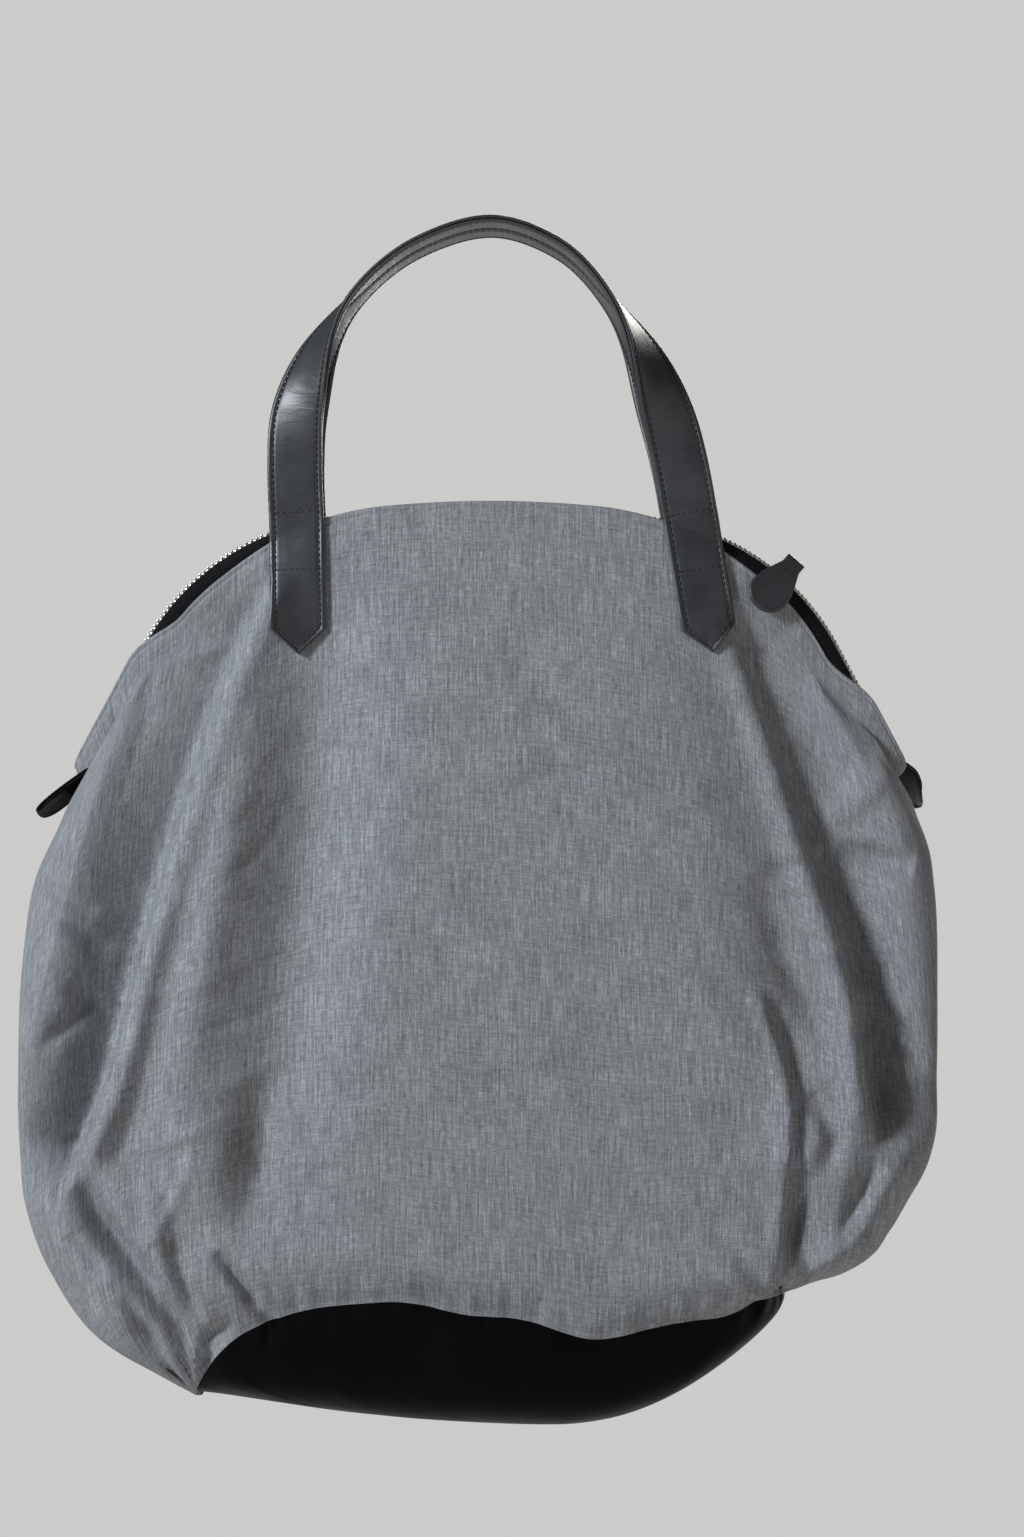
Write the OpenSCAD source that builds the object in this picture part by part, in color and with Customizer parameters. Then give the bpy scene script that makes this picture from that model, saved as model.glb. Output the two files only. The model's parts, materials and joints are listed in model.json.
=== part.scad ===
// Slouchy zip-top shoulder bag: a soft cloth body on a leather base, two leather
// handles, and a metal zip over the top with a leather puller.
// +Z is up, the front faces -Y, and the origin is where a peg carries the handles.

/* [Body] */
// Height of the cloth from its top edge to the base seam
cloth_h = 440; // [410:5:470]
// Length of the leather base between its two ends
base_len = 324; // [300:2:340]
// Depth of the leather base from front to back
base_depth = 144; // [130:2:160]
// Height of the leather band from its seam to the underside
band_h = 60; // [50:1:70]
// How far the left side of the cloth bellies out
belly_left = 57; // [45:1:62]
// How far the right side of the cloth bellies out
belly_right = 48; // [40:1:58]
// How much lower the seam hangs at the left end of the base
corner_sag = 42; // [20:1:46]

/* [Mouth] */
// Gap between the front and back cloth edges at the middle of the mouth
mouth_gap = 20; // [18:1:26]
// Radius of the nearly straight top of the zip line
crown_r = 595; // [560:5:640]
// Angle that the zip line turns through before each shoulder
crown_turn = 9; // [8:1:10]
// Radius of the zip line round each shoulder
shoulder_r = 134; // [126:1:140]
// Angle that the zip line turns through round each shoulder
shoulder_turn = 53; // [50:1:55]
// Straight run of the zip line below each shoulder
zip_run = 76; // [66:1:84]

/* [Handles] */
// Height of the peg above the top edge of the cloth
handle_drop = 150; // [145:1:156]
// Width of the handle straps
strap_w = 30; // [26:1:32]
// Thickness of a handle strap, its two layers together
strap_t = 3.4; // [3:0.1:4]
// Length of a sewn handle end, from its top to its point
tab_len = 72; // [60:1:80]

/* [Zip] */
// Angle round the right shoulder at which the slider stands
slider_turn = 32; // [28:1:36]
// Length of the leather puller
puller_len = 31; // [28:1:33]
// Width of the leather puller at its widest
puller_w = 23; // [20:1:24]

/* [Layers] */
// Thickness of the cloth
cloth_t = 1.2; // [1:0.1:1.3]
// Thickness of the lining
lining_t = 0.6; // [0.4:0.1:0.7]
// Thickness of one layer of leather
leather_t = 1.5; // [1.2:0.1:1.6]

/* [Hidden] */
edge_z = -handle_drop;
seam_gap = 0.1;

// the zip line: crown arc, shoulder arc and straight run, mirrored about X = 0
zip_top = edge_z - 3;
crown_len = crown_r * crown_turn * PI / 180;
shoulder_len = shoulder_r * shoulder_turn * PI / 180;
half_zip = crown_len + shoulder_len + zip_run;
arc_c = [(crown_r - shoulder_r) * sin(crown_turn),
         zip_top - crown_r + (crown_r - shoulder_r) * cos(crown_turn)];
slider_d = crown_len + shoulder_len * slider_turn / shoulder_turn;

// cloth stack, as depths below the outer face
layer_gap = 0.3;
patch_in = cloth_t + layer_gap;
patch_t = 0.6;
lining_in = patch_in + patch_t + layer_gap;
pocket_in = lining_in + lining_t + layer_gap;
base_lining_in = leather_t + seam_gap;

// a tooth row's width and height, and its distance from the middle when meshed
row_w = 2.6;
row_h = 2.4;
meshed = 1.9;
tape_t = 0.5;
zip_end = half_zip - 14;

// the handles: a leg's foot is where the strap leaves its sewn end
foot_z = edge_z - 12;
fold_gap = 2;
left_foot = -106;
right_foot = 110;
left_lean = 1;
right_lean = 9;
left_leg = [[left_foot, -12], [-107, 20], [-105, 50], [-94, 84], [-74, 113], [-42, 139]];
right_leg = [[right_foot, -12], [104, 20], [96, 50], [83, 84], [64, 113], [38, 139]];
apex = [0, handle_drop + strap_t / 2];

function lerp(a, b, t) = a + (b - a) * t;
function ease(t) = let (c = min(1, max(0, t))) c * c * (3 - 2 * c);
function turn_at(a) =
    a < crown_len ? a / crown_r * 180 / PI
    : crown_turn + min(shoulder_turn, (a - crown_len) / shoulder_r * 180 / PI);

// a point of the zip line at distance d from the middle, moved out by out
function zip_point(d, out = 0) =
    let (a = abs(d), turn = turn_at(a), n = [sin(turn), cos(turn)],
         past = max(0, a - crown_len - shoulder_len),
         p = a < crown_len ? [0, zip_top - crown_r] + crown_r * n
             : arc_c + shoulder_r * n + past * [n.y, -n.x],
         q = p + out * n)
    [sign(d) * q.x, q.y];

// the cloth's edge stands above the teeth at the middle and below them at the shoulders
function lip(d) = lerp(-3, 8, ease((abs(d) - 60) / 100));
function mouth(d) = zip_point(d, -lip(d));
mouth_half = mouth(half_zip).x;

// column d of the cloth as a share of the half width, and the column for a share
function share(d) = mouth(d).x / mouth_half;
function column(s, low = 0, high = half_zip, n = 16) =
    let (mid = (low + high) / 2)
    n == 0 ? mid
    : share(mid) < s ? column(s, mid, high, n - 1)
    : column(s, low, mid, n - 1);

function belly(left, v) =
    left ? belly_left * pow(max(0, sin(180 * pow(v, 1.2))), 0.65)
    : belly_right * pow(max(0, sin(180 * pow(v, 1.4))), 0.65);
function seam_z(s) = edge_z - cloth_h - corner_sag * pow(max(0, -s), 8);
function depth(v) = lerp(mouth_gap / 2, base_depth / 2, pow(sin(90 * v), 1.1));
function round_off(s, v) = let (e = lerp(3, 3.6, v)) pow(max(0, 1 - pow(abs(s), e)), 1 / e);

// the front cloth at column d and share v of the way down, inset below its outer face
function cloth(d, v, inset = 0) =
    let (m = mouth(d), s = m.x / mouth_half)
    [lerp(m.x, s * base_len / 2, v) + s * abs(s) * belly(s < 0, v) - inset * pow(s, 3),
     -(depth(v) - inset) * round_off(s, v),
     lerp(m.y, seam_z(s), v)];

// the outer face's Y at a place in the front view, found in a few rounds
function cloth_y(x, z, v = 0.1, n = 6) =
    let (a = lerp(mouth_half, base_len / 2, v), b = belly(x < 0, v),
         s = b < 0.01 ? abs(x) / a : (sqrt(a * a + 4 * b * abs(x)) - a) / (2 * b),
         top = mouth(column(s)).y,
         low = seam_z(s * sign(x)),
         down = max(0, (top - z) / (top - low)))
    n == 0 ? -depth(v) * round_off(s, v) : cloth_y(x, z, down, n - 1);

// a handle's fold stands clear of the cloth across the whole width of the strap
hinge_y = cloth_y(left_foot + strap_w / 2, foot_z) - layer_gap - strap_t;

// the cloth layers share one grid of columns and levels, so that they nest
function spread(low, high, n) = [for (i = [0:n]) lerp(low, high, i / n)];
columns = [for (turn = spread(-90, 90, 28)) half_zip * sin(turn)];
hem = 0.02;
levels = concat([0, hem], spread(1 / 24, 1 / 4, 5), spread(1 / 3, 1, 8));
function picked(list, low, high) = [for (x = list) if (x >= low && x <= high) x];
function halves(a, b, c, d) = [[a, b, c], [a, c, d]];

// a closed shell between two grids of points that face each other
module wall(outer, inner) {
    rows = len(outer);
    cols = len(outer[0]);
    total = rows * cols;
    points = concat([for (row = outer) each row], [for (row = inner) each row]);
    function at(i, j, side) = side * total + i * cols + j;
    faces = concat(
        [for (i = [0:rows - 2], j = [0:cols - 2])
            each halves(at(i, j, 0), at(i, j + 1, 0), at(i + 1, j + 1, 0), at(i + 1, j, 0))],
        [for (i = [0:rows - 2], j = [0:cols - 2])
            each halves(at(i, j, 1), at(i + 1, j, 1), at(i + 1, j + 1, 1), at(i, j + 1, 1))],
        [for (j = [0:cols - 2]) each halves(at(0, j, 1), at(0, j + 1, 1), at(0, j + 1, 0), at(0, j, 0))],
        [for (j = [0:cols - 2]) let (e = rows - 1)
            each halves(at(e, j, 0), at(e, j + 1, 0), at(e, j + 1, 1), at(e, j, 1))],
        [for (i = [0:rows - 2]) each halves(at(i, 0, 0), at(i + 1, 0, 0), at(i + 1, 0, 1), at(i, 0, 1))],
        [for (i = [0:rows - 2]) let (e = cols - 1)
            each halves(at(i, e, 1), at(i + 1, e, 1), at(i + 1, e, 0), at(i, e, 0))]);
    polyhedron(points, faces);
}

// a bar carried through a list of sections that have the same number of points; the second
// half of each section is split the other way, so that two twisted bars can lie face to face
module carried(sections) {
    n = len(sections[0]);
    last = len(sections) - 1;
    faces = concat(
        [[for (j = [0:n - 1]) j]],
        [for (i = [0:last - 1], j = [0:n - 1])
            let (k = (j + 1) % n, a = i * n + j, b = a + n, c = i * n + n + k, d = i * n + k)
            each j < n / 2 ? halves(a, b, c, d) : halves(b, c, d, a)],
        [[for (j = [n - 1:-1:0]) last * n + j]]);
    polyhedron([for (s = sections) each s], faces);
}

// part of the front cloth, or a layer behind it, from inset to inset + t
module cloth_layer(across, down, inset, t) {
    wall([for (v = down) [for (d = across) cloth(d, v, inset)]],
         [for (v = down) [for (d = across) cloth(d, v, inset + t)]]);
}

module front_panel() { color("slategray") cloth_layer(columns, levels, 0, cloth_t); }
module back_panel() { mirror([0, 1, 0]) front_panel(); }
module front_lining() { color("dimgray") cloth_layer(columns, picked(levels, hem, 1), lining_in, lining_t); }
module back_lining() { mirror([0, 1, 0]) front_lining(); }
module inner_pocket() {
    pocket_half = 100;
    color("gray") mirror([0, 1, 0])
        cloth_layer(picked(columns, -pocket_half, pocket_half), picked(levels, 0.2, 0.6), pocket_in, lining_t);
}

// patches between the cloth and the lining that carry the handle stitching
module front_reinforcement() {
    color("whitesmoke") for (mid = [-column(-left_foot / mouth_half), column(right_foot / mouth_half)])
        cloth_layer(spread(mid - 21, mid + 21, 3), spread(0.04, 0.2, 4), patch_in, patch_t);
}
module back_reinforcement() { mirror([0, 1, 0]) front_reinforcement(); }

// the base is a soft tray: its sides turn under in a rounded curve from the seam
module tray(inset, t) {
    n_down = 6;
    n_side = len(columns) - 1;
    back_columns = [for (i = [1:n_side - 1]) columns[n_side - i]];
    function ring(q, deep) =
        let (k = pow(cos(90 * q), 0.6), h = pow(sin(90 * q), 0.6),
             front = [for (d = columns) cloth(d, 1, deep)],
             back = [for (d = back_columns) let (p = cloth(d, 1, deep)) [p.x, -p.y, p.z]])
        [for (p = concat(front, back)) [p.x * k, p.y * k, lerp(p.z, floor_z + deep, h)]];
    floor_z = edge_z - cloth_h - band_h;
    n = 2 * n_side;
    steps = spread(0, 0.94, n_down);
    points = concat([for (q = steps) each ring(q, inset)], [[0, 0, floor_z + inset]],
                    [for (q = steps) each ring(q, inset + t)], [[0, 0, floor_z + inset + t]]);
    half = len(steps) * n + 1;
    function at(i, j, side) = side * half + i * n + j % n;
    low = n_down * n;
    faces = concat(
        [for (i = [0:n_down - 1], j = [0:n - 1])
            each halves(at(i, j, 0), at(i, j + 1, 0), at(i + 1, j + 1, 0), at(i + 1, j, 0))],
        [for (j = [0:n - 1]) [low + j, low + (j + 1) % n, half - 1]],
        [for (i = [0:n_down - 1], j = [0:n - 1])
            each halves(at(i, j, 1), at(i + 1, j, 1), at(i + 1, j + 1, 1), at(i, j + 1, 1))],
        [for (j = [0:n - 1]) [half + low + (j + 1) % n, half + low + j, 2 * half - 1]],
        [for (j = [0:n - 1]) each halves(at(0, j, 1), at(0, j + 1, 1), at(0, j + 1, 0), at(0, j, 0))]);
    polyhedron(points, faces);
}
module base_panel() { color("black") tray(0, leather_t); }
module base_lining() { color("dimgray") tray(base_lining_in, lining_t); }

// a tooth row's distance from the middle plane: meshed right of the slider, open left of it
function row_y(d) =
    let (free = max(meshed, -cloth(d, 0).y - 3.4), open = ease((slider_d - 7 - d) / 70))
    lerp(meshed, free, open);
row_stations = concat(spread(-zip_end, -crown_len, 24), spread(-crown_len + 8, crown_len - 8, 18),
                      spread(crown_len, zip_end, 28));
module front_zip_teeth() {
    color("silver") carried([for (d = row_stations)
        let (y = row_y(d), low = zip_point(d, -row_h / 2), high = zip_point(d, row_h / 2))
        [[low.x, -y - row_w / 2, low.y], [low.x, -y + row_w / 2, low.y],
         [high.x, -y + row_w / 2, high.y], [high.x, -y - row_w / 2, high.y]]]);
}
module back_zip_teeth() { mirror([0, 1, 0]) front_zip_teeth(); }

// each tape runs from under its tooth row to the cloth's edge and down inside it
module front_zip_tape() {
    color("black") carried([for (d = row_stations)
        let (y = row_y(d) + row_w / 2 - tape_t, top = zip_point(d, -row_h / 2),
             v = max(0, 2 - lip(d)) / cloth_h,
             edge_out = cloth(d, v, patch_in), edge_in = cloth(d, v, patch_in + tape_t),
             hem_out = cloth(d, v + hem, patch_in), hem_in = cloth(d, v + hem, patch_in + tape_t))
        [[top.x, -y + tape_t / 2, top.y], [top.x, -y - tape_t / 2, top.y], edge_out, hem_out, hem_in, edge_in]]);
}
module back_zip_tape() { mirror([0, 1, 0]) front_zip_tape(); }

// the slider's own frame: X along the zip, Y across it, Z out of it
module at_zip(d) {
    p = zip_point(d);
    translate([p.x, 0, p.y]) rotate([0, sign(d) * turn_at(abs(d)), 0]) children();
}
module zip_start_stops() {
    color("silver") for (side = [-1, 1]) at_zip(-zip_end - 2.2)
        translate([-1.9, side * meshed - row_w / 2, -1.6]) cube([3.8, row_w, 3.2]);
}
module zip_end_stop() {
    color("silver") at_zip(zip_end + 2.4) translate([-2, -3.6, -1.8]) cube([4, 7.2, 3.6]);
}

plate_low = row_h / 2 + 0.3;
plate_t = 1.1;
plate_top = plate_low + plate_t;
slider_len = 13;
keel_w = 3.6;
module slider_body() {
    color("silver") at_zip(slider_d) {
        translate([0, 0, plate_low]) linear_extrude(plate_t) hull() {
            translate([-slider_len / 2 + 3.4, 1.6]) circle(3.4, $fn = 32);
            translate([-slider_len / 2 + 3.4, -1.6]) circle(3.4, $fn = 32);
            translate([slider_len / 2 - 2, 2]) circle(2, $fn = 32);
            translate([slider_len / 2 - 2, -2]) circle(2, $fn = 32);
        }
        translate([-slider_len / 2 + 1, -keel_w / 2, -plate_low - plate_t])
            cube([slider_len - 2, keel_w, plate_t]);
        translate([-slider_len / 2 + 1.4, -0.45, -plate_low - plate_t / 2])
            cube([4, 0.9, 2 * plate_low + plate_t]);
    }
}

// the bridge stands across the slider, and the loop's near side turns inside it
loop_r = 0.7;
loop_z = plate_top + 1.5;
loop_near = 4.6;
bridge_w = 6.2;
bridge_len = 2.6;
bridge_t = 1.1;
bridge_inner = loop_z + loop_r + 0.35;
module slider_bridge() {
    color("silver") at_zip(slider_d) translate([bridge_len / 2, 0, 0]) rotate([0, -90, 0])
        linear_extrude(bridge_len) difference() {
            translate([plate_top, -bridge_w / 2]) square([bridge_inner + bridge_t - plate_top, bridge_w]);
            translate([plate_top - 1, -bridge_w / 2 + bridge_t])
                square([bridge_inner - plate_top + 1, bridge_w - 2 * bridge_t]);
        }
}

// a wire loop: two sides along the zip and two legs that stand up and forward from the bridge
loop_reach = 8.6;
loop_rise = 45;
module pull_loop() {
    legs = [-loop_near, loop_near];
    color("silver") at_zip(slider_d) translate([0, 0, loop_z]) rotate([-loop_rise, 0, 0]) {
        for (y = [0, -loop_reach]) translate([-loop_near, y, 0]) rotate([0, 90, 0])
            cylinder(h = 2 * loop_near, r = loop_r, $fn = 24);
        for (x = legs) translate([x, 0, 0]) rotate([90, 0, 0]) cylinder(h = loop_reach, r = loop_r, $fn = 24);
        for (x = legs, y = [0, -loop_reach]) translate([x, y, 0]) sphere(loop_r, $fn = 24);
    }
}

// the puller's frame: origin on the loop's far side, -Z down the leather, Y across its layers
puller_lean = 20;
eye_w = 7.6;
eye_r = 1.0;
module at_puller() {
    far = [0, -loop_reach * cos(loop_rise), loop_z + loop_reach * sin(loop_rise)];
    at_zip(slider_d) translate(far) rotate([-puller_lean, 0, 0]) children();
}
function puller_outline() =
    let (r = puller_w / 2, low = -puller_len + r)
    concat([[eye_w / 2, -eye_r - 0.5], [-eye_w / 2, -eye_r - 0.5], [-eye_w / 2 - 1.5, -9]],
           [for (a = [190:10:350]) [r * cos(a), low + r * sin(a)]], [[eye_w / 2 + 1.5, -9]]);
module puller_layer(near, far) {
    at_puller() translate([0, far, 0]) rotate([90, 0, 0])
        linear_extrude(far - near) polygon(puller_outline());
}
module puller_face() { color("black") puller_layer(-leather_t, 0); }
module puller_backing() { color("black") puller_layer(seam_gap / 2, leather_t); }
// the fold of leather that wraps the loop's far side and holds both layers
module puller_fold() {
    color("black") at_puller() rotate([0, 90, 0]) translate([0, 0, -eye_w / 2]) difference() {
        union() {
            cylinder(h = eye_w, r = eye_r + leather_t - 0.2, $fn = 32);
            translate([0, -leather_t, 0]) cube([3.4, 2 * leather_t, eye_w]);
        }
        translate([0, 0, -1]) cylinder(h = eye_w + 2, r = eye_r, $fn = 32);
        translate([eye_r + 0.5, -leather_t - 1, -1]) cube([9, 2 * leather_t + 2, eye_w + 2]);
    }
}

// leather tabs over the zip's ends: the left one stands out, the right one turns back
tab_reach = 38;
tab_w = 25;
module end_tab(near, far) {
    r = 9;
    linear_extrude(far - near) hull() {
        translate([2, -tab_w / 2 + 2]) circle(2, $fn = 32);
        translate([2, tab_w / 2 - 2]) circle(2, $fn = 32);
        translate([tab_reach - r, -tab_w / 2 + r]) circle(r, $fn = 32);
        translate([tab_reach - r, tab_w / 2 - r]) circle(r, $fn = 32);
    }
}
module left_end_tab(near, far) {
    p = zip_point(-half_zip, -6);
    translate([p.x - 0.5, 0, p.y]) rotate([0, 148, 0]) translate([0, 0, near]) end_tab(near, far);
}
module right_end_tab(near, far) {
    p = zip_point(half_zip, -4);
    translate([p.x + 0.5, 2, p.y]) rotate([0, 18, 52]) rotate([76, 0, 0]) translate([0, 0, near]) end_tab(near, far);
}
module left_zip_tab_face() { color("black") left_end_tab(0, leather_t); }
module left_zip_tab_backing() { color("black") left_end_tab(-leather_t, -seam_gap / 2); }
module right_zip_tab_face() { color("black") right_end_tab(0, leather_t); }
module right_zip_tab_backing() { color("black") right_end_tab(-leather_t, -seam_gap / 2); }

// a handle's sewn end lies on the cloth and narrows to a point
module sewn_end(foot, lean) {
    point_h = 14;
    downs = concat([fold_gap, 8], spread(16, tab_len - point_h, 5), [tab_len - point_h / 2, tab_len]);
    function half_w(l) = strap_w / 2 * min(1, (tab_len - l + 0.4) / point_h);
    function place(l, w) = [foot + sin(lean) * l + w * cos(lean), foot_z - cos(lean) * l + w * sin(lean)];
    function grid(out) = [for (l = downs) [for (w = [-1:0.5:1])
        let (p = place(l, w * half_w(l))) [p.x, cloth_y(p.x, p.y) - out, p.y]]];
    color("black") wall(grid(seam_gap + strap_t), grid(seam_gap));
}
module front_left_tab() { sewn_end(left_foot, left_lean); }
module front_right_tab() { sewn_end(right_foot, right_lean); }
module back_left_tab() { mirror([0, 1, 0]) front_left_tab(); }
module back_right_tab() { mirror([0, 1, 0]) front_right_tab(); }

// a handle's route in the front view, and the smooth curve through it
route = concat(left_leg, [apex], [for (i = [len(right_leg) - 1:-1:0]) right_leg[i]]);
last_stop = len(route) - 1;
function stop(i) = i < 0 ? 2 * route[0] - route[1]
    : i > last_stop ? 2 * route[last_stop] - route[last_stop - 1] : route[i];
function curve(u) =
    let (i = min(last_stop - 1, floor(u)), t = u - i, a = stop(i - 1), b = stop(i), c = stop(i + 1), d = stop(i + 2))
    b + t / 2 * (c - a + t * (2 * a - 5 * b + 4 * c - d + t * (3 * (b - c) + d - a)));

// the strap starts flat on the cloth and turns a quarter, so that its face lies on the peg;
// its ends are cut level at the hinge line, so that no corner swings back into the cloth
function handle_section(u, near, far) =
    let (p = curve(u), ahead = curve(min(last_stop, u + 0.02)), behind = curve(max(0, u - 0.02)),
         run = (ahead - behind) / norm(ahead - behind),
         rise = ease(1 - abs(u - last_stop / 2) / (last_stop / 2)),
         twist = 90 * ease(rise * 1.2),
         along = [run.x, 0, run.y],
         across = cos(twist) * [run.y, 0, -run.x] - sin(twist) * [0, 1, 0],
         through = cross(along, across),
         mid = [p.x, lerp(hinge_y + strap_t / 2, -strap_w / 2 - 0.8, sin(twist)), edge_z + p.y])
    [for (c = [[-1, near], [1, near], [1, far], [-1, far]])
        let (corner = mid + c[0] * strap_w / 2 * across + c[1] * through)
        [corner.x, corner.y, max(foot_z, corner.z)]];
module handle_layer(near, far) { carried([for (u = spread(0, last_stop, 48)) handle_section(u, near, far)]); }
module front_handle_face() { color("black") handle_layer(-strap_t / 2, -seam_gap / 2); }
module front_handle_backing() { color("black") handle_layer(seam_gap / 2, strap_t / 2); }
module back_handle_face() { mirror([0, 1, 0]) front_handle_face(); }
module back_handle_backing() { mirror([0, 1, 0]) front_handle_backing(); }

front_panel();
back_panel();
base_panel();
front_lining();
back_lining();
base_lining();
inner_pocket();
front_reinforcement();
back_reinforcement();
front_zip_tape();
back_zip_tape();
front_zip_teeth();
back_zip_teeth();
zip_start_stops();
zip_end_stop();
left_zip_tab_face();
left_zip_tab_backing();
right_zip_tab_face();
right_zip_tab_backing();
front_left_tab();
front_right_tab();
back_left_tab();
back_right_tab();
slider_body();
slider_bridge();
pull_loop();
puller_face();
puller_backing();
puller_fold();
front_handle_face();
front_handle_backing();
back_handle_face();
back_handle_backing();
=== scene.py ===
import json
import math

import bpy
import numpy as np
from bpy.props import FloatProperty, FloatVectorProperty, IntProperty, PointerProperty
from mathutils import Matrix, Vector


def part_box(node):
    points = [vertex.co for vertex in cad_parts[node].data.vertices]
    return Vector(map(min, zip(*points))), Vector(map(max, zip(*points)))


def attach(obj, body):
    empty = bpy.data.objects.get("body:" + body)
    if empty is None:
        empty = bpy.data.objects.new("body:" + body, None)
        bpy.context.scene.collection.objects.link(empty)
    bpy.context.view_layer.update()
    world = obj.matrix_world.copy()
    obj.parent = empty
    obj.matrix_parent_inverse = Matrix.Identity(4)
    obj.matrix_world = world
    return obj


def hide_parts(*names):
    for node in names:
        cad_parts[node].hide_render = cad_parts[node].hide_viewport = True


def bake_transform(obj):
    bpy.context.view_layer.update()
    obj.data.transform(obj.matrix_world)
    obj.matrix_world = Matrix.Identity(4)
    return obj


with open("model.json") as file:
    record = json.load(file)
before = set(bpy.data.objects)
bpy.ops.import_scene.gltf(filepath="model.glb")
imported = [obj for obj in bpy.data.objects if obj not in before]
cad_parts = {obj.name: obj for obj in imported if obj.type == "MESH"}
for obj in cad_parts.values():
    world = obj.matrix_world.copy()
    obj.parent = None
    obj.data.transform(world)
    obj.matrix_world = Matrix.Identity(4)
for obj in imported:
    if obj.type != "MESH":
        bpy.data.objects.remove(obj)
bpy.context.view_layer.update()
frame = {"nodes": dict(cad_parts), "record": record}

bl_info = {
    "name": "Slouchy Zip-Top Shoulder Bag",
    "version": (1, 0, 0),
    "blender": (4, 5, 0),
    "location": "3D View > Sidebar > Shoulder Bag",
    "description": "Builds the sagging cloth, leather base, zip and stitched handles of a shoulder bag",
    "category": "Object",
}

MM = 0.001
joint_named = {joint["name"]: joint for joint in frame["record"]["behaviour"]["joints"]}

# the places that everything else is worked out from
_, cloth_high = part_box("front_panel")
base_low, base_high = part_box("base_panel")
EDGE_Z = cloth_high.z
SEAM_Z = base_high.z
FLOOR_Z = base_low.z
BASE_HALF_X = base_high.x
BASE_HALF_Y = base_high.y
CLOTH_H = EDGE_Z - SEAM_Z
ARC_X, _, ARC_Z = joint_named["zip_travel"]["pos_m"]
HINGE_Y = joint_named["front_handle_swing"]["pos_m"][1]
FOOT_Z = joint_named["front_handle_swing"]["pos_m"][2]

# the zip line: a crown arc, a shoulder arc round the slider's centre, and a straight run
ZIP_TOP = EDGE_Z - 3 * MM
CROWN_TURN = math.radians(9)
SHOULDER_TURN = math.radians(53)
centres_apart = ARC_X / math.sin(CROWN_TURN)
CROWN_R = ZIP_TOP - ARC_Z + centres_apart * math.cos(CROWN_TURN)
SHOULDER_R = CROWN_R - centres_apart
CROWN_LEN = CROWN_R * CROWN_TURN
SHOULDER_LEN = SHOULDER_R * SHOULDER_TURN
HALF_ZIP = CROWN_LEN + SHOULDER_LEN + 76 * MM
ZIP_END = HALF_ZIP - 14 * MM
slider_x, _, slider_z = joint_named["loop_swing"]["pos_m"]
SLIDER_TURN = math.atan2(slider_x - ARC_X, slider_z - ARC_Z)
SLIDER_D = CROWN_LEN + SHOULDER_R * (SLIDER_TURN - CROWN_TURN)
ROW_H = 2.4 * MM
ROW_W = 2.6 * MM
MESHED_Y = 1.9 * MM


# sizes and colours a user may change

def length(name, description, default):
    return FloatProperty(name=name, description=description, default=default, min=0.0, unit="LENGTH",
                         precision=4)


def colour(name, description, default):
    return FloatVectorProperty(name=name, description=description, default=default, subtype="COLOR",
                               size=3, min=0.0, max=1.0)


class BagClothSettings(bpy.types.PropertyGroup):
    """Cloth body, its hems and its lining."""
    thickness: length("Thickness", "Thickness of the cloth", 1.2 * MM)
    lining_inset: length("Lining Inset", "Depth of the lining behind the cloth's outer face", 2.4 * MM)
    lining_thickness: length("Lining Thickness", "Thickness of the lining", 0.6 * MM)
    fold_scale: FloatProperty(name="Fold Scale", description="Strength of the hanging folds", default=1.0,
                              min=0.0, max=1.2, subtype="FACTOR")
    columns: IntProperty(name="Columns", description="Columns of the cloth's mesh", default=236, min=40)
    rows: IntProperty(name="Rows", description="Rows of the cloth's mesh", default=206, min=40)
    dark_thread: colour("Dark Thread", "Colour of the darker yarn", (0.085, 0.091, 0.104))
    light_thread: colour("Light Thread", "Colour of the lighter yarn", (0.40, 0.412, 0.432))
    lining_colour: colour("Lining", "Colour of the lining", (0.03, 0.031, 0.035))


class BagLeatherSettings(bpy.types.PropertyGroup):
    """Leather base, handles, tabs and puller."""
    base_thickness: length("Base Thickness", "Thickness of the base leather", 1.5 * MM)
    strap_width: length("Strap Width", "Width of a handle", 30 * MM)
    strap_thickness: length("Strap Thickness", "Thickness of a handle, both layers", 3.4 * MM)
    tab_length: length("Tab Length", "Length of a sewn handle end", 72 * MM)
    stitch_pitch: length("Stitch Pitch", "Distance from one stitch to the next", 3.4 * MM)
    stitch_inset: length("Stitch Inset", "Distance of the stitching from the edge", 3.0 * MM)
    strap_colour: colour("Strap", "Colour of the strap leather", (0.022, 0.024, 0.028))
    base_colour: colour("Base", "Colour of the base leather", (0.0016, 0.0016, 0.002))
    thread_colour: colour("Thread", "Colour of the sewing thread", (0.007, 0.007, 0.009))


class BagZipSettings(bpy.types.PropertyGroup):
    """Zip tapes, teeth and metal."""
    tooth_pitch: length("Tooth Pitch", "Distance from one tooth to the next", 3.1 * MM)
    tape_thickness: length("Tape Thickness", "Thickness of the zip tape", 0.5 * MM)
    metal_colour: colour("Metal", "Colour of the teeth, slider and loop", (0.50, 0.49, 0.46))
    tape_colour: colour("Tape", "Colour of the zip tape", (0.005, 0.005, 0.006))


class BagStageSettings(bpy.types.PropertyGroup):
    """Floor, light and camera."""
    floor_drop: length("Floor Drop", "Height of the hanging bag over the floor", 0.25)
    backdrop: colour("Backdrop", "Colour of the floor and the air behind the bag", (0.60, 0.60, 0.59))


# curves and formulas

def lerp(a, b, t):
    return a + (b - a) * t


def ease(t):
    """Smooth step from 0 to 1: 3t^2 - 2t^3."""
    t = np.clip(t, 0.0, 1.0)
    return t * t * (3.0 - 2.0 * t)


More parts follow.
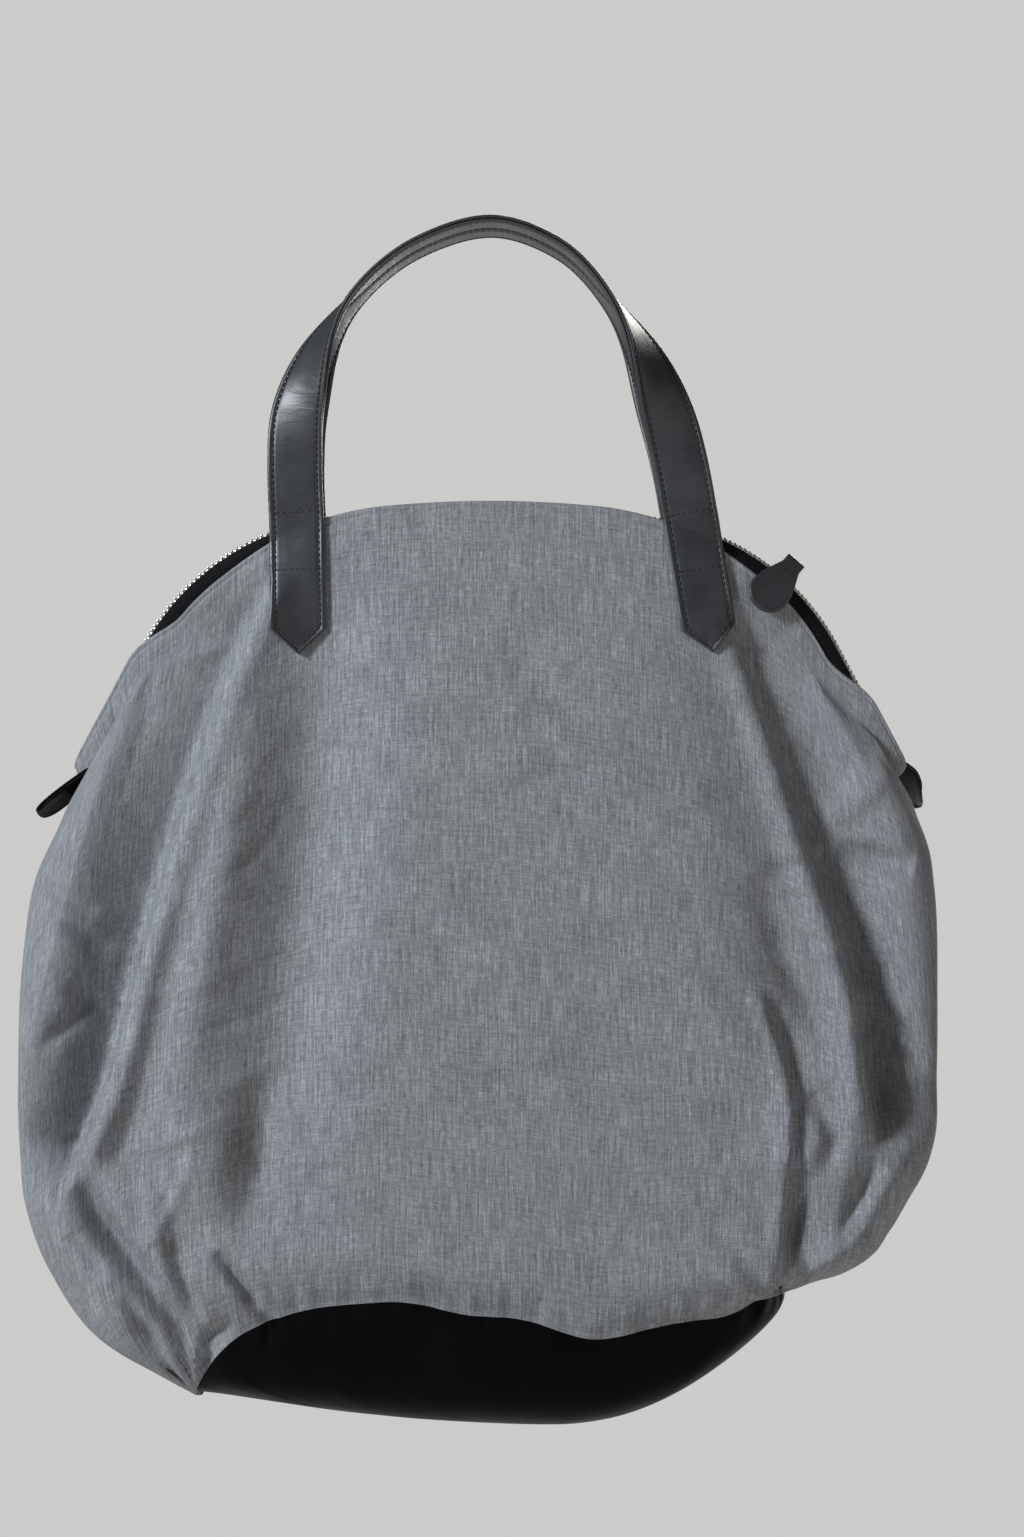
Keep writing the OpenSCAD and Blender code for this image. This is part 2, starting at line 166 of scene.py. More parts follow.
def bell(t):
    """Bell curve, exp(-t^2)."""
    return np.exp(-t * t)


def gone_along(path):
    """Distance gone at each point of a path."""
    return np.concatenate([[0.0], np.cumsum(np.linalg.norm(np.diff(path, axis=0), axis=1))])


def rounded(across, power):
    """Section that closes towards its edges as a superellipse, (1 - |t|^p)^(1/p)."""
    return (1 - np.abs(across) ** power) ** (1 / power)


def sine_spaced(n):
    """Shares from -1 to 1 that crowd towards both ends: a sine of even steps."""
    return np.sin(np.linspace(-np.pi / 2, np.pi / 2, n))


def unit(vectors):
    return vectors / np.linalg.norm(vectors, axis=-1, keepdims=True)


def smooth_through(at, places, values):
    """Cubic curve through given values: slopes are finite differences, straight past the ends."""
    places = np.asarray(places, float)
    values = np.asarray(values, float)
    slopes = np.gradient(values, places)
    k = np.clip(np.searchsorted(places, at) - 1, 0, len(places) - 2)
    span = places[k + 1] - places[k]
    t = (at - places[k]) / span
    inside = np.clip(t, 0.0, 1.0)
    squared = inside * inside
    cubed = squared * inside
    curve = (values[k] * (2 * cubed - 3 * squared + 1) + values[k + 1] * (3 * squared - 2 * cubed)
             + span * (slopes[k] * (cubed - 2 * squared + inside) + slopes[k + 1] * (cubed - squared)))
    end_slope = np.where(t < 0, slopes[k], slopes[k + 1])
    return curve + (t - inside) * span * end_slope


def zip_turn(d):
    """Angle of the zip line's normal from upright at distance d, negative on the left.

    It grows as length over radius, first on the crown and then on the shoulder.
    """
    away = np.abs(d)
    return np.sign(d) * np.where(away < CROWN_LEN, away / CROWN_R,
                                 CROWN_TURN + np.minimum(SHOULDER_TURN, (away - CROWN_LEN) / SHOULDER_R))


def zip_line(d, out=0.0):
    """Point (x, z) of the zip line at distance d from the middle, moved out along its normal."""
    away = np.abs(d)
    on_crown = away < CROWN_LEN
    turn = np.abs(zip_turn(d))
    past = np.maximum(0.0, away - CROWN_LEN - SHOULDER_LEN)
    across, up = np.sin(turn), np.cos(turn)
    x = np.where(on_crown, CROWN_R * across, ARC_X + SHOULDER_R * across + past * up)
    z = np.where(on_crown, ZIP_TOP - CROWN_R + CROWN_R * up, ARC_Z + SHOULDER_R * up - past * across)
    return np.sign(d) * (x + out * across), z + out * up


def lip(d):
    """Height of the teeth over the cloth's edge, in two eased steps.

    It is 3 mm below the edge at the middle, 8 mm above it at the shoulders, and just below it again
    towards the ends, where the cloth wraps over the zip, sooner on the left than on the right.
    """
    shown = lerp(-3 * MM, 8 * MM, ease((np.abs(d) / MM - 60) / 100))
    wrap = np.where(d < 0, 190, 218)
    return shown - 12 * MM * ease((np.abs(d) / MM - wrap) / 38)


def mouth(d):
    return zip_line(d, -lip(d))


MOUTH_HALF = float(mouth(np.array([HALF_ZIP]))[0][0])
mouth_d = np.linspace(0.0, HALF_ZIP, 400)
mouth_x, mouth_z = mouth(mouth_d)


# the hanging cloth

def seam_wave(x):
    """Rise and fall of the base seam: two soft bells and a lift towards the right end."""
    x = x / MM
    return MM * (10 * bell((x + 60) / 50) - 10 * bell((x - 60) / 28) + 9 * ease((x - 120) / 30)
                 + 0.8 * np.sin(x / 9.0) * bell(x / 130))


def seam_line(s):
    """Height of the base seam at share s of the half width: wavy, and low at the left end."""
    return SEAM_Z + seam_wave(s * BASE_HALF_X) - 50 * MM * np.maximum(0.0, -s) ** 8


# half widths in mm of the hanging sides, at shares of the way down
LEFT_SIDE = [(0, 227), (0.09, 236), (0.19, 251), (0.29, 256), (0.5, 258), (0.6, 257.5), (0.7, 253),
             (0.8, 240), (0.9, 215), (1, 162)]
RIGHT_SIDE = [(0, 227), (0.1, 235), (0.17, 242), (0.23, 244), (0.45, 245), (0.58, 244.5), (0.7, 243),
              (0.76, 238), (0.82, 229), (0.88, 219), (0.94, 204), (1, 162)]


def belly(s, v):
    """How far a side bellies out past the straight line from the mouth to the base."""
    straight = lerp(MOUTH_HALF, BASE_HALF_X, v)
    left, right = (smooth_through(v, *zip(*side)) * MM - straight for side in (LEFT_SIDE, RIGHT_SIDE))
    return np.maximum(0.0, np.where(s < 0, left, right))


def depth(v):
    """Half depth of the body: 10 mm at the mouth, growing as a power of a sine to the base."""
    return lerp(10 * MM, BASE_HALF_Y, np.sin(np.pi / 2 * np.clip(v, 0, 1)) ** 1.1)


def round_off(s, v):
    """Superellipse section: (1 - |s|^e)^(1/e), fullest at the sides half way down."""
    e = lerp(4.0, 3.6, v) + 2.4 * np.sin(np.pi * v)
    return np.maximum(0.0, 1 - np.abs(s) ** e) ** (1 / e)


def roll(x, drop, course, side, deep, edge, recover, fade=45):
    """A panel rolled over at its edge: past a curved course the cloth falls back by deep, then recovers.

    Fall is 1 - exp(-(r/edge)^2) for distance r past the course, times 1 - r/recover, so the cloth
    beyond dives in under the roll and comes forward again on a straight slope.
    """
    course = np.asarray(course, float)
    crest = smooth_through(drop, course[:, 1], course[:, 0])
    r = side * (x - crest)
    past = np.maximum(0.0, r)
    window = ease((drop - course[0, 1]) / fade + 0.4) * ease((course[-1, 1] - drop) / fade + 0.6)
    fall = (1 - bell(past / edge)) * np.maximum(0.0, 1 - past / recover)
    return window * deep * (0.2 * bell((r + edge) / (1.6 * edge)) - fall)


def ridge(x, drop, course, width, high):
    """A rib or, with high below 0, a valley: a bell across a chain of points, fading at both ends."""
    course = np.asarray(course, float)
    total = np.zeros_like(x)
    gone = gone_along(course)
    nearest = np.full_like(x, np.inf)
    for i, step in enumerate(np.diff(gone)):
        run = (course[i + 1] - course[i]) / step
        along = np.clip((x - course[i, 0]) * run[0] + (drop - course[i, 1]) * run[1], 0, step)
        off = np.hypot(x - course[i, 0] - run[0] * along, drop - course[i, 1] - run[1] * along)
        place = (gone[i] + along) / gone[-1]
        swell = np.sin(np.pi * np.clip(place, 0.0, 1.0)) ** 0.7
        closer = off < nearest
        total = np.where(closer, high * swell * bell(off / width), total)
        nearest = np.minimum(nearest, off)
    return total


def puff(x, drop, centre, radius, high):
    """A soft round swelling: a bell of the distance from its centre."""
    return high * bell(np.hypot(x - centre[0], (drop - centre[1]) * 0.7) / radius)


def scattered_creases(x, drop, seed, count, high):
    """Faint creases with random places, slants and lengths, from a fixed seed."""
    rng = np.random.default_rng(seed)
    total = np.zeros_like(x)
    for _ in range(count):
        cx, cz = rng.uniform(-200, 200), rng.uniform(70, 430)
        slant = rng.normal(0.35 * np.sign(cx), 0.55)
        reach = rng.uniform(18, 48)
        width = rng.uniform(2.6, 8)
        along = (x - cx) * np.cos(slant) + (drop - cz) * np.sin(slant)
        off = (drop - cz) * np.cos(slant) - (x - cx) * np.sin(slant) + 0.004 * along ** 2
        strength = rng.choice([-1.0, 1.0]) * rng.uniform(0.4, 1.0) * high
        total += strength * bell(along / reach) * bell(off / width)
    return total * (0.6 + 1.1 * ease((np.abs(x) - 110) / 60))


def gathers(x, drop, corner, count, reach, high):
    """Pleats that fan out from a corner: a sine of the angle about it, strongest at reach from it."""
    across, up = x - corner[0], corner[1] - drop
    away = np.hypot(across, up) / reach
    return high * np.sin(count * np.arctan2(across, up) + 0.6) * away * np.exp(1 - away ** 2) * 0.6


def front_rolls(x, drop):
    """The two rolled edges of the front, as a share of the body's own depth."""
    left = [(-119, 48), (-149, 122), (-167, 179), (-187, 254), (-203, 317), (-219, 358)]
    right = [(129, 66), (153, 138), (172, 198), (191, 254), (201, 330)]
    return roll(x, drop, left, -1, 0.84, 5, 52, 36) + roll(x, drop, right, 1, 0.74, 4.5, 64, 36)


def back_rolls(x, drop):
    """The two rolled edges of the back, as a share of the body's own depth."""
    left = [(-130, 76), (-154, 150), (-176, 225), (-196, 300), (-208, 350)]
    right = [(126, 66), (150, 130), (169, 190), (188, 250), (199, 330)]
    return roll(x, drop, left, -1, 0.6, 6, 58) + roll(x, drop, right, 1, 0.6, 6, 58)


# ribs and valleys: a course of (x, drop) points, a width and a height out from the body, all in mm
FRONT_RIDGES = [
    ([(124, 60), (150, 150), (172, 220), (190, 330)], 34, -10),
    ([(-228, 345), (-208, 386), (-181, 421), (-157, 458)], 7.5, -15),
    ([(-210, 355), (-193, 388), (-172, 417), (-150, 445)], 9, 8),
    ([(-240, 372), (-212, 412), (-186, 446)], 10, 8),
    ([(-90, 30), (-96, 170), (-110, 286), (-118, 385)], 26, -18),
    ([(-126, 80), (-140, 170), (-160, 286), (-172, 350)], 14, 8),
    ([(-120, 305), (-124, 350), (-130, 395)], 11, -7),
    ([(-208, 110), (-229, 200), (-236, 290), (-230, 360)], 17, 5),
    ([(205, 110), (225, 200), (230, 290), (220, 350)], 15, 6),
    ([(-146, 402), (-121, 434)], 4, -8),
    ([(-155, 456), (-135, 440)], 4, -5),
    ([(-238, 222), (-205, 248)], 5, -4),
    ([(-228, 262), (-202, 290)], 5, -4),
    ([(-184, 365), (-172, 405)], 6, 5),
    ([(147, 204), (160, 255), (185, 301)], 9, -5),
    ([(206, 355), (185, 402)], 5, -7),
    ([(229, 346), (178, 421)], 10, 8),
    ([(238, 372), (196, 424)], 6, -7),
    ([(180, 176), (218, 148)], 9, 7),
    ([(188, 190), (230, 200)], 6, -9),
    ([(185, 245), (238, 302)], 3.5, -4),
    ([(194, 286), (236, 308)], 3.5, -4),
    ([(-196, 428), (-174, 462)], 4, -6),
    ([(-226, 395), (-204, 418)], 4, -5),
    ([(-170, 395), (-160, 430), (-152, 455)], 5, -8),
    ([(-132, 425), (-112, 448)], 4, -5),
    ([(172, 318), (184, 342), (178, 366)], 7, -9),
    ([(166, 372), (160, 412)], 4, -6),
    ([(-248, 205), (-214, 226)], 4, -5),
    ([(-244, 300), (-212, 268)], 5, -4),
    ([(160, 106), (196, 172)], 7, -6),
    ([(176, 96), (206, 150)], 7, 6),
    ([(-83, 181), (-30, 215), (22, 259)], 8, 2.8),
    ([(-90, 205), (-30, 236), (40, 272)], 9, -2.2),
    ([(4, 82), (40, 112), (76, 133)], 8, -2.6),
    ([(8, 158), (34, 150), (62, 147)], 5, -2.4),
    ([(-34, 316), (50, 309), (134, 318)], 7, -2.2),
    ([(-110, 300), (-70, 318), (-34, 322)], 7, -1.8),
    ([(70, 236), (112, 262), (140, 300)], 8, 1.8),
    ([(-110, 395), (-40, 412), (60, 425)], 10, 3),
]
BACK_RIDGES = [
    ([(200, 350), (180, 395), (160, 430)], 8, -14),
    ([(-206, 345), (-184, 390), (-158, 440)], 8, -14),
    ([(96, 110), (104, 220), (118, 330)], 20, -7),
    ([(-88, 100), (-96, 190), (-104, 280)], 20, -6),
    ([(-20, 300), (-60, 360), (-110, 400)], 12, -4),
]
# soft swellings: centre, radius and height
FRONT_PUFFS = [((-152, 352), 22, 9), ((175, 345), 22, 10)]
BACK_PUFFS = [((140, 350), 26, 8), ((-150, 345), 24, 8)]
# pleats that fan out at the base's corners: corner, number, reach and height
FRONT_FANS = [((-160, 486), 13, 34, 3.2), ((158, 438), 12, 30, 2.6)]
BACK_FANS = [((-160, 486), 12, 34, 3.0), ((158, 438), 13, 30, 2.8)]


def summed_folds(x, drop, ridges, puffs, fans, seed):
    """Ridges, puffs, fans of pleats and faint creases, in mm out from the smooth body."""
    out = scattered_creases(x, drop, seed, 90, 1.4)
    for shape, rows in ((ridge, ridges), (puff, puffs), (gathers, fans)):
        for row in rows:
            out += shape(x, drop, *row)
    return out


def front_folds(x, drop):
    """The front's folds, with one more rolled edge that runs down to the right end of the base."""
    low_roll = roll(x, drop, [(145, 270), (159, 317), (157, 365), (152, 424)], 1, 11, 2.8, 30, 30)
    return low_roll + summed_folds(x, drop, FRONT_RIDGES, FRONT_PUFFS, FRONT_FANS, 7)


def back_folds(x, drop):
    """The back's folds: a few valleys and pleats at the corners."""
    return summed_folds(x, drop, BACK_RIDGES, BACK_PUFFS, BACK_FANS, 23)

def blouse(x, drop, low):
    """Cloth swells over the base seam and is drawn in and puckered at the stitching, in mm."""
    over = low - drop
    pucker = 0.6 * np.sin(x / 2.6 + 1.5 * np.sin(x / 17)) * bell((over - 6) / 9)
    return 6.0 * bell((over - 27) / 17) - 4.0 * bell(over / 7) + pucker


def settled(x, z, low, smooth_y, front, scale):
    """Outward move of the cloth at a place in the front view, never more than part of its own depth."""
    drop = (EDGE_Z - z) / MM
    across = x / MM
    folds = front_folds(across, drop) if front else back_folds(across, drop)
    rolls = front_rolls(across, drop) if front else back_rolls(across, drop)
    folds = folds * ease((drop - 12) / 60)
    out = scale * (MM * (folds + blouse(across, drop, (EDGE_Z - low) / MM)) + smooth_y * rolls)
    room = 0.8 * smooth_y + 0.05 * MM
    return out / (1 + (out / room) ** 4) ** 0.25


def cloth(d, v, inset=0.0, front=True, scale=1.0):
    """Point of the cloth at column d and share v of the way down, inset behind its outer face.

    Each column runs from the mouth to the base seam, bellies out towards the sides, and is pushed in
    and out by the folds. Below the zip's ends the side is drawn in where the end tabs come out.
    """
    mx, mz = mouth(d)
    s = mx / MOUTH_HALF
    low = seam_line(s)
    x = lerp(mx, s * BASE_HALF_X, v) + s * np.abs(s) * belly(s, v)
    z = lerp(mz, low, v)
    fallen = v * CLOTH_H / MM
    from_side = (1 - np.abs(s)) * MOUTH_HALF / MM
    notch = 11 * bell((fallen - 19) / 9) * np.abs(s) ** 6 + 1.1 * bell(from_side / 1.6)
    y = depth(v) * round_off(s, v)
    y = y + settled(x, z, low, y, front, scale) - inset * round_off(s, v)
    x = x - inset * np.sign(s) * np.abs(s) ** 14 - np.sign(s) * notch * MM
    x, y, z = np.broadcast_arrays(x, y, z)
    return np.stack([x, -y if front else y, z], axis=-1)


def cloth_face_y(x, z, front=True, scale=1.0):
    """Distance of the outer face from the middle plane at a place in the front view, in a few rounds.

    Each round guesses the share of the way down, solves the column from x, and corrects the guess.
    """
    v = np.full_like(x, 0.1)
    for _ in range(7):
        reach = lerp(MOUTH_HALF, BASE_HALF_X, v)
        side_belly = belly(x, v)
        flat = np.abs(x) / reach
        bowed = (np.sqrt(reach ** 2 + 4 * side_belly * np.abs(x)) - reach) / (2 * side_belly + 1e-9)
        s = np.where(side_belly < 1e-5, flat, bowed)
        top = np.interp(s, mouth_x / MOUTH_HALF, mouth_z)
        low = seam_line(s * np.sign(x))
        v = np.clip((top - z) / (top - low), 0.0, 1.0)
    y = depth(v) * round_off(s, v)
    return y + settled(x, z, low, y, front, scale)


def crowded(n):
    """Columns across the zip line, closer together towards the side seams."""
    return HALF_ZIP * sine_spaced(n)


# meshes

def grid_quads(rows, cols, start=0):
    i = np.arange(rows - 1)[:, None]
    j = np.arange(cols - 1)[None, :]
    corner = start + i * cols + j
    return np.stack([corner, corner + 1, corner + cols + 1, corner + cols], axis=-1).reshape(-1, 4)


def shell(outer, inner):
    """Closed skin between two grids that face each other, joined round their borders."""
    rows, cols = outer.shape[:2]
    count = rows * cols
    index = np.arange(count).reshape(rows, cols)
    border = np.concatenate([index[0, :-1], index[:-1, -1], index[-1, :0:-1], index[:0:-1, 0]])
    after = np.roll(border, -1)
    sides = np.stack([after, border, border + count, after + count], axis=-1)
    quads = np.concatenate([grid_quads(rows, cols), grid_quads(rows, cols, count)[:, ::-1], sides])
    return np.concatenate([outer.reshape(-1, 3), inner.reshape(-1, 3)]), quads


def together(parts):
    """One mesh from several (points, quads, uv) parts."""
    points, quads, uvs, start = [], [], [], 0
    for part_points, part_quads, part_uv in parts:
        points.append(part_points)
        quads.append(part_quads + start)
        uvs.append(part_uv)
        start += len(part_points)
    return np.concatenate(points), np.concatenate(quads), np.concatenate(uvs)


def normals_of(grid):
    """Unit normals of a grid of points: the cross product of its two directions."""
    n = np.cross(np.gradient(grid, axis=1), np.gradient(grid, axis=0))
    return n / np.maximum(np.linalg.norm(n, axis=-1, keepdims=True), 1e-12)


def volume(points, quads):
    a, b, c, d = (points[quads[:, k]] for k in range(4))
    return float(np.sum(a * np.cross(b, c)) + np.sum(a * np.cross(c, d)))


def side_of(front):
    """Name of a side of the bag, and the way it faces along y."""
    return ("front", -1.0) if front else ("back", 1.0)


def add_piece(name, points, quads, uv, finish, body="bag", sharp=55):
    """Makes a mesh object from arrays, with its faces turned outwards, and lets it ride on a body."""
    if not np.isfinite(points).all():
        raise RuntimeError(f"{name} has a point that isn't a number")
    if volume(points, quads) < 0:
        quads = quads[:, ::-1]
    mesh = bpy.data.meshes.new(name)
    mesh.vertices.add(len(points))
    mesh.vertices.foreach_set("co", points.astype(np.float32).ravel())
    mesh.loops.add(quads.size)
    mesh.loops.foreach_set("vertex_index", quads.astype(np.int32).ravel())
    mesh.polygons.add(len(quads))
    mesh.polygons.foreach_set("loop_start", np.arange(0, quads.size, 4, dtype=np.int32))
    mesh.uv_layers.new(name="UVMap").data.foreach_set("uv", uv[quads.ravel()].astype(np.float32).ravel())
    mesh.update(calc_edges=True)
    mesh.validate()
    mesh.shade_smooth()
    mesh.set_sharp_from_angle(angle=math.radians(sharp))
    mesh.materials.append(finish)
    piece = bpy.data.objects.new(name, mesh)
    bpy.context.scene.collection.objects.link(piece)
    if body:
        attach(piece, body)
    return piece


def shell_uv(u, v):
    """The same flat measure, in metres, on both grids of a shell."""
    flat = np.stack(np.broadcast_arrays(u, v), axis=-1).reshape(-1, 2)
    return np.concatenate([flat, flat])


def tube_quads(rings, around):
    """Side faces of a small tube of rings, each with the same number of points."""
    return [[i * around + j, i * around + (j + 1) % around, (i + 1) * around + (j + 1) % around,
             (i + 1) * around + j] for i in range(rings - 1) for j in range(around)]


def capsules(places, along, up, reach, radius):
    """Many short threads at once: a six-sided rod with rounded ends, laid at each place."""
    stations = np.array([-1.0, -0.72, 0.72, 1.0])
    swell = np.array([0.35, 1.0, 1.0, 0.35])
    angles = np.arange(6) * np.pi / 3
    side = np.cross(up, along)
    lengthwise = stations[:, None, None, None] * reach * along[None, None]
    ring = (np.cos(angles)[:, None, None] * side[None] + np.sin(angles)[:, None, None] * up[None]) * radius
    points = places[None, None] + lengthwise + swell[:, None, None, None] * ring[None]
    points = np.moveaxis(points, 2, 0).reshape(-1, 3)
    one = np.array(tube_quads(4, 6) + [[3, 2, 1, 0], [5, 4, 3, 0], [18, 19, 20, 21], [18, 21, 22, 23]])
    quads = (one[None] + 24 * np.arange(len(places))[:, None, None]).reshape(-1, 4)
    return points, quads, np.zeros((len(points), 2))


def sampled(at, gone, values):
    """Rows of a table of vectors, read off at given distances gone."""
    return np.stack([np.interp(at, gone, values[:, k]) for k in range(3)], axis=-1)


def evenly(path, pitch):
    """Places, directions and distances gone of stitches spaced by pitch along a path."""
    gone = gone_along(path)
    count = max(1, int(gone[-1] / pitch))
    at = (np.arange(count) + 0.5) * gone[-1] / count
    near, far = (sampled(at + step * pitch, gone, path) for step in (-0.4, 0.4))
    return (near + far) / 2, unit(far - near), at


def stitches(path, up, pitch, radius=0.28 * MM, share=0.36):
    """A run of thread along a path. up is the surface normal at each point of the path."""
    places, along, at = evenly(path, pitch)
    lift = sampled(at, gone_along(path), up)
    lift -= along * np.sum(lift * along, axis=1, keepdims=True)
    return capsules(places, along, unit(lift), pitch * share, radius)


# finishes

class Finish:
    """A procedural material under construction: a shader and short calls for its nodes."""

    def __init__(self, name, colour_value, roughness, **sockets):
        self.material = bpy.data.materials.new(name)
        self.material.use_nodes = True
        self.tree = self.material.node_tree
        self.shader = self.tree.nodes["Principled BSDF"]
        self.shader.inputs["Base Color"].default_value = (*colour_value, 1.0)
        self.shader.inputs["Roughness"].default_value = roughness
        for socket, value in sockets.items():
            self.shader.inputs[socket.replace("_", " ")].default_value = value
        self.material.diffuse_color = (*colour_value, 1.0)

    def node(self, kind, **values):
        made = self.tree.nodes.new(kind)
        for key, value in values.items():
            setattr(made, key, value)
        return made

    def link(self, source, target):
        self.tree.links.new(source, target)

    def coordinates(self, on_uv, scale):
        """Surface coordinates divided into cells of the given sizes in metres."""
        place = self.node("ShaderNodeTexCoord").outputs["UV" if on_uv else "Object"]
        mapping = self.node("ShaderNodeMapping")
        mapping.inputs["Scale"].default_value = [1.0 / size for size in scale]
        self.link(place, mapping.inputs["Vector"])
        return mapping.outputs["Vector"]

    def grain(self, on_uv, scale, detail=2.0, rough=0.5, distortion=0.0):
        """Noise with patches of the given sizes in metres."""
        vector = self.coordinates(on_uv, scale)
        made = self.node("ShaderNodeTexNoise")
        made.inputs["Scale"].default_value = 1.0
        made.inputs["Detail"].default_value = detail
        made.inputs["Roughness"].default_value = rough
        made.inputs["Distortion"].default_value = distortion
        self.link(vector, made.inputs["Vector"])
        return made.outputs["Fac"]

    def cells(self, vector):
        made = self.node("ShaderNodeTexVoronoi")
        made.inputs["Scale"].default_value = 1.0
        self.link(vector, made.inputs["Vector"])
        return made.outputs["Distance"]

    def maths(self, operation, a, b=None):
        made = self.node("ShaderNodeMath", operation=operation)
        for socket, value in zip(made.inputs, (a, b)):
            if isinstance(value, (int, float)):
                socket.default_value = value
            elif value is not None:
                self.link(value, socket)
        return made.outputs[0]

    def weighted(self, terms):
        """Sum of (weight, value) terms."""
        total = None
        for weight, value in terms:
            term = self.maths("MULTIPLY", value, weight)
            total = term if total is None else self.maths("ADD", total, term)
        return total

    def ramp(self, value, stops, smooth=True):
        made = self.node("ShaderNodeValToRGB")
        made.color_ramp.interpolation = "EASE" if smooth else "LINEAR"
        elements = made.color_ramp.elements
        while len(elements) < len(stops):
            elements.new(0.5)
        for element, (place, shade) in zip(elements, stops):
            element.position = place
            element.color = (*shade, 1.0)
        self.link(value, made.inputs["Fac"])
        return made.outputs["Color"]

    def mottled(self, value, shade, dark, light):
        """A shade that runs from one share of a colour to another."""
        return self.ramp(value, [(0.35, scaled(shade, dark)), (0.65, scaled(shade, light))])

    def bump(self, height, distance, strength=1.0, below=None):
        made = self.node("ShaderNodeBump")
        made.inputs["Strength"].default_value = strength
        made.inputs["Distance"].default_value = distance
        self.link(height, made.inputs["Height"])
        if below is not None:
            self.link(below, made.inputs["Normal"])
        return made.outputs["Normal"]

    def paint(self, shade=None, roughness=None, normal=None):
        if shade is not None:
            self.link(shade, self.shader.inputs["Base Color"])
        if roughness is not None:
            self.link(roughness, self.shader.inputs["Roughness"])
        if normal is not None:
            self.link(normal, self.shader.inputs["Normal"])
        return self.material


def grey(value):
    return (value, value, value)


def scaled(shade, share):
    return tuple(min(1.0, channel * share) for channel in shade)


def chambray():
    """Two-tone plain weave: long slubs down the warp, short ones across, and slow mottling."""
    settings = bpy.context.scene.bag_cloth
    finish = Finish("chambray_cloth", (0.19, 0.205, 0.232), 0.9, Sheen_Weight=0.06, Sheen_Roughness=0.5,
                    Specular_IOR_Level=0.15)
    warp = finish.grain(True, (0.5 * MM, 4.5 * MM, 1), 2.0, 0.6)
    weft = finish.grain(True, (4 * MM, 0.5 * MM, 1), 2.0, 0.6)
    slub = finish.grain(True, (1.0 * MM, 22 * MM, 1), 1.0, 0.6)
    cross_slub = finish.grain(True, (16 * MM, 1.4 * MM, 1), 1.0)
    mottle = finish.grain(True, (30 * MM, 38 * MM, 1), 3.0)
    tone = finish.weighted([(0.28, warp), (0.26, weft), (0.28, slub), (0.12, cross_slub), (0.06, mottle)])
    mid = tuple((a + b) / 2 for a, b in zip(settings.dark_thread, settings.light_thread))
    shade = finish.ramp(tone, [(0.35, tuple(settings.dark_thread)), (0.5, scaled(mid, 0.86)),
                               (0.65, tuple(settings.light_thread))], smooth=False)
    yarns = finish.weighted([(0.5, warp), (0.5, weft)])
    normal = finish.bump(yarns, 0.35 * MM, 0.9)
    return finish.paint(shade, None, normal)


def lining_cloth():
    """Thin dark twill: fine slanting ribs and faint wear."""
    settings = bpy.context.scene.bag_cloth
    finish = Finish("lining_twill", tuple(settings.lining_colour), 0.72, Sheen_Weight=0.15,
                    Sheen_Roughness=0.4)
    yarn = finish.grain(True, (0.5 * MM, 3 * MM, 1), 2.0)
    wear = finish.grain(True, (22 * MM, 22 * MM, 1), 3.0)
    tone = finish.weighted([(0.6, yarn), (0.4, wear)])
    shade = finish.mottled(tone, settings.lining_colour, 0.7, 1.4)
    return finish.paint(shade, None, finish.bump(yarn, 0.2 * MM, 0.6))


def stiffener():
    """Bonded fibre patch between cloth and lining."""
    finish = Finish("stiffener_felt", (0.62, 0.62, 0.6), 0.95)
    fibre = finish.grain(False, 3 * (1.2 * MM,), 4.0, 0.7)
    shade = finish.ramp(fibre, [(0.3, grey(0.5)), (0.7, grey(0.68))])
    return finish.paint(shade, None, finish.bump(fibre, 0.2 * MM, 0.8))


def leather(name, colour_value, roughness, gloss, grain, crease, on_uv):
    """Grained leather: small rounded cells, long soft creases, and a duller, lighter shade where rubbed."""
    finish = Finish(name, colour_value, roughness, Specular_IOR_Level=gloss)
    pores = finish.cells(finish.coordinates(on_uv, 3 * (grain,)))
    fine = finish.grain(on_uv, 3 * (grain * 0.5,), 3.0, 0.6)
    long_crease = finish.grain(on_uv, (crease, crease * 0.3, crease * 0.6), 3.0, 0.55, 0.8)
    cloudy = finish.grain(on_uv, 3 * (26 * MM,), 3.0)
    shade = finish.ramp(finish.weighted([(0.7, cloudy), (0.3, fine)]),
                        [(0.3, scaled(colour_value, 0.75)), (0.7, scaled(colour_value, 1.35))])
    rough = finish.ramp(finish.weighted([(0.55, cloudy), (0.25, fine), (0.2, long_crease)]),
                        [(0.3, grey(roughness - 0.06)), (0.7, grey(roughness + 0.1))])
    normal = finish.bump(finish.weighted([(0.7, pores), (0.3, fine)]), 0.07 * MM, 0.3)
    normal = finish.bump(long_crease, 1.1 * MM, 0.42, normal)
    return finish.paint(shade, rough, normal)


def tape_weave():
    """Zip tape: fine ribs across and along."""
    settings = bpy.context.scene.bag_zip
    finish = Finish("zip_tape_weave", tuple(settings.tape_colour), 0.85, Specular_IOR_Level=0.15)
    rib = finish.grain(True, (1.1 * MM, 0.4 * MM, 1), 2.0)
    shade = finish.mottled(rib, settings.tape_colour, 0.6, 1.7)
    return finish.paint(shade, None, finish.bump(rib, 0.25 * MM, 0.8))


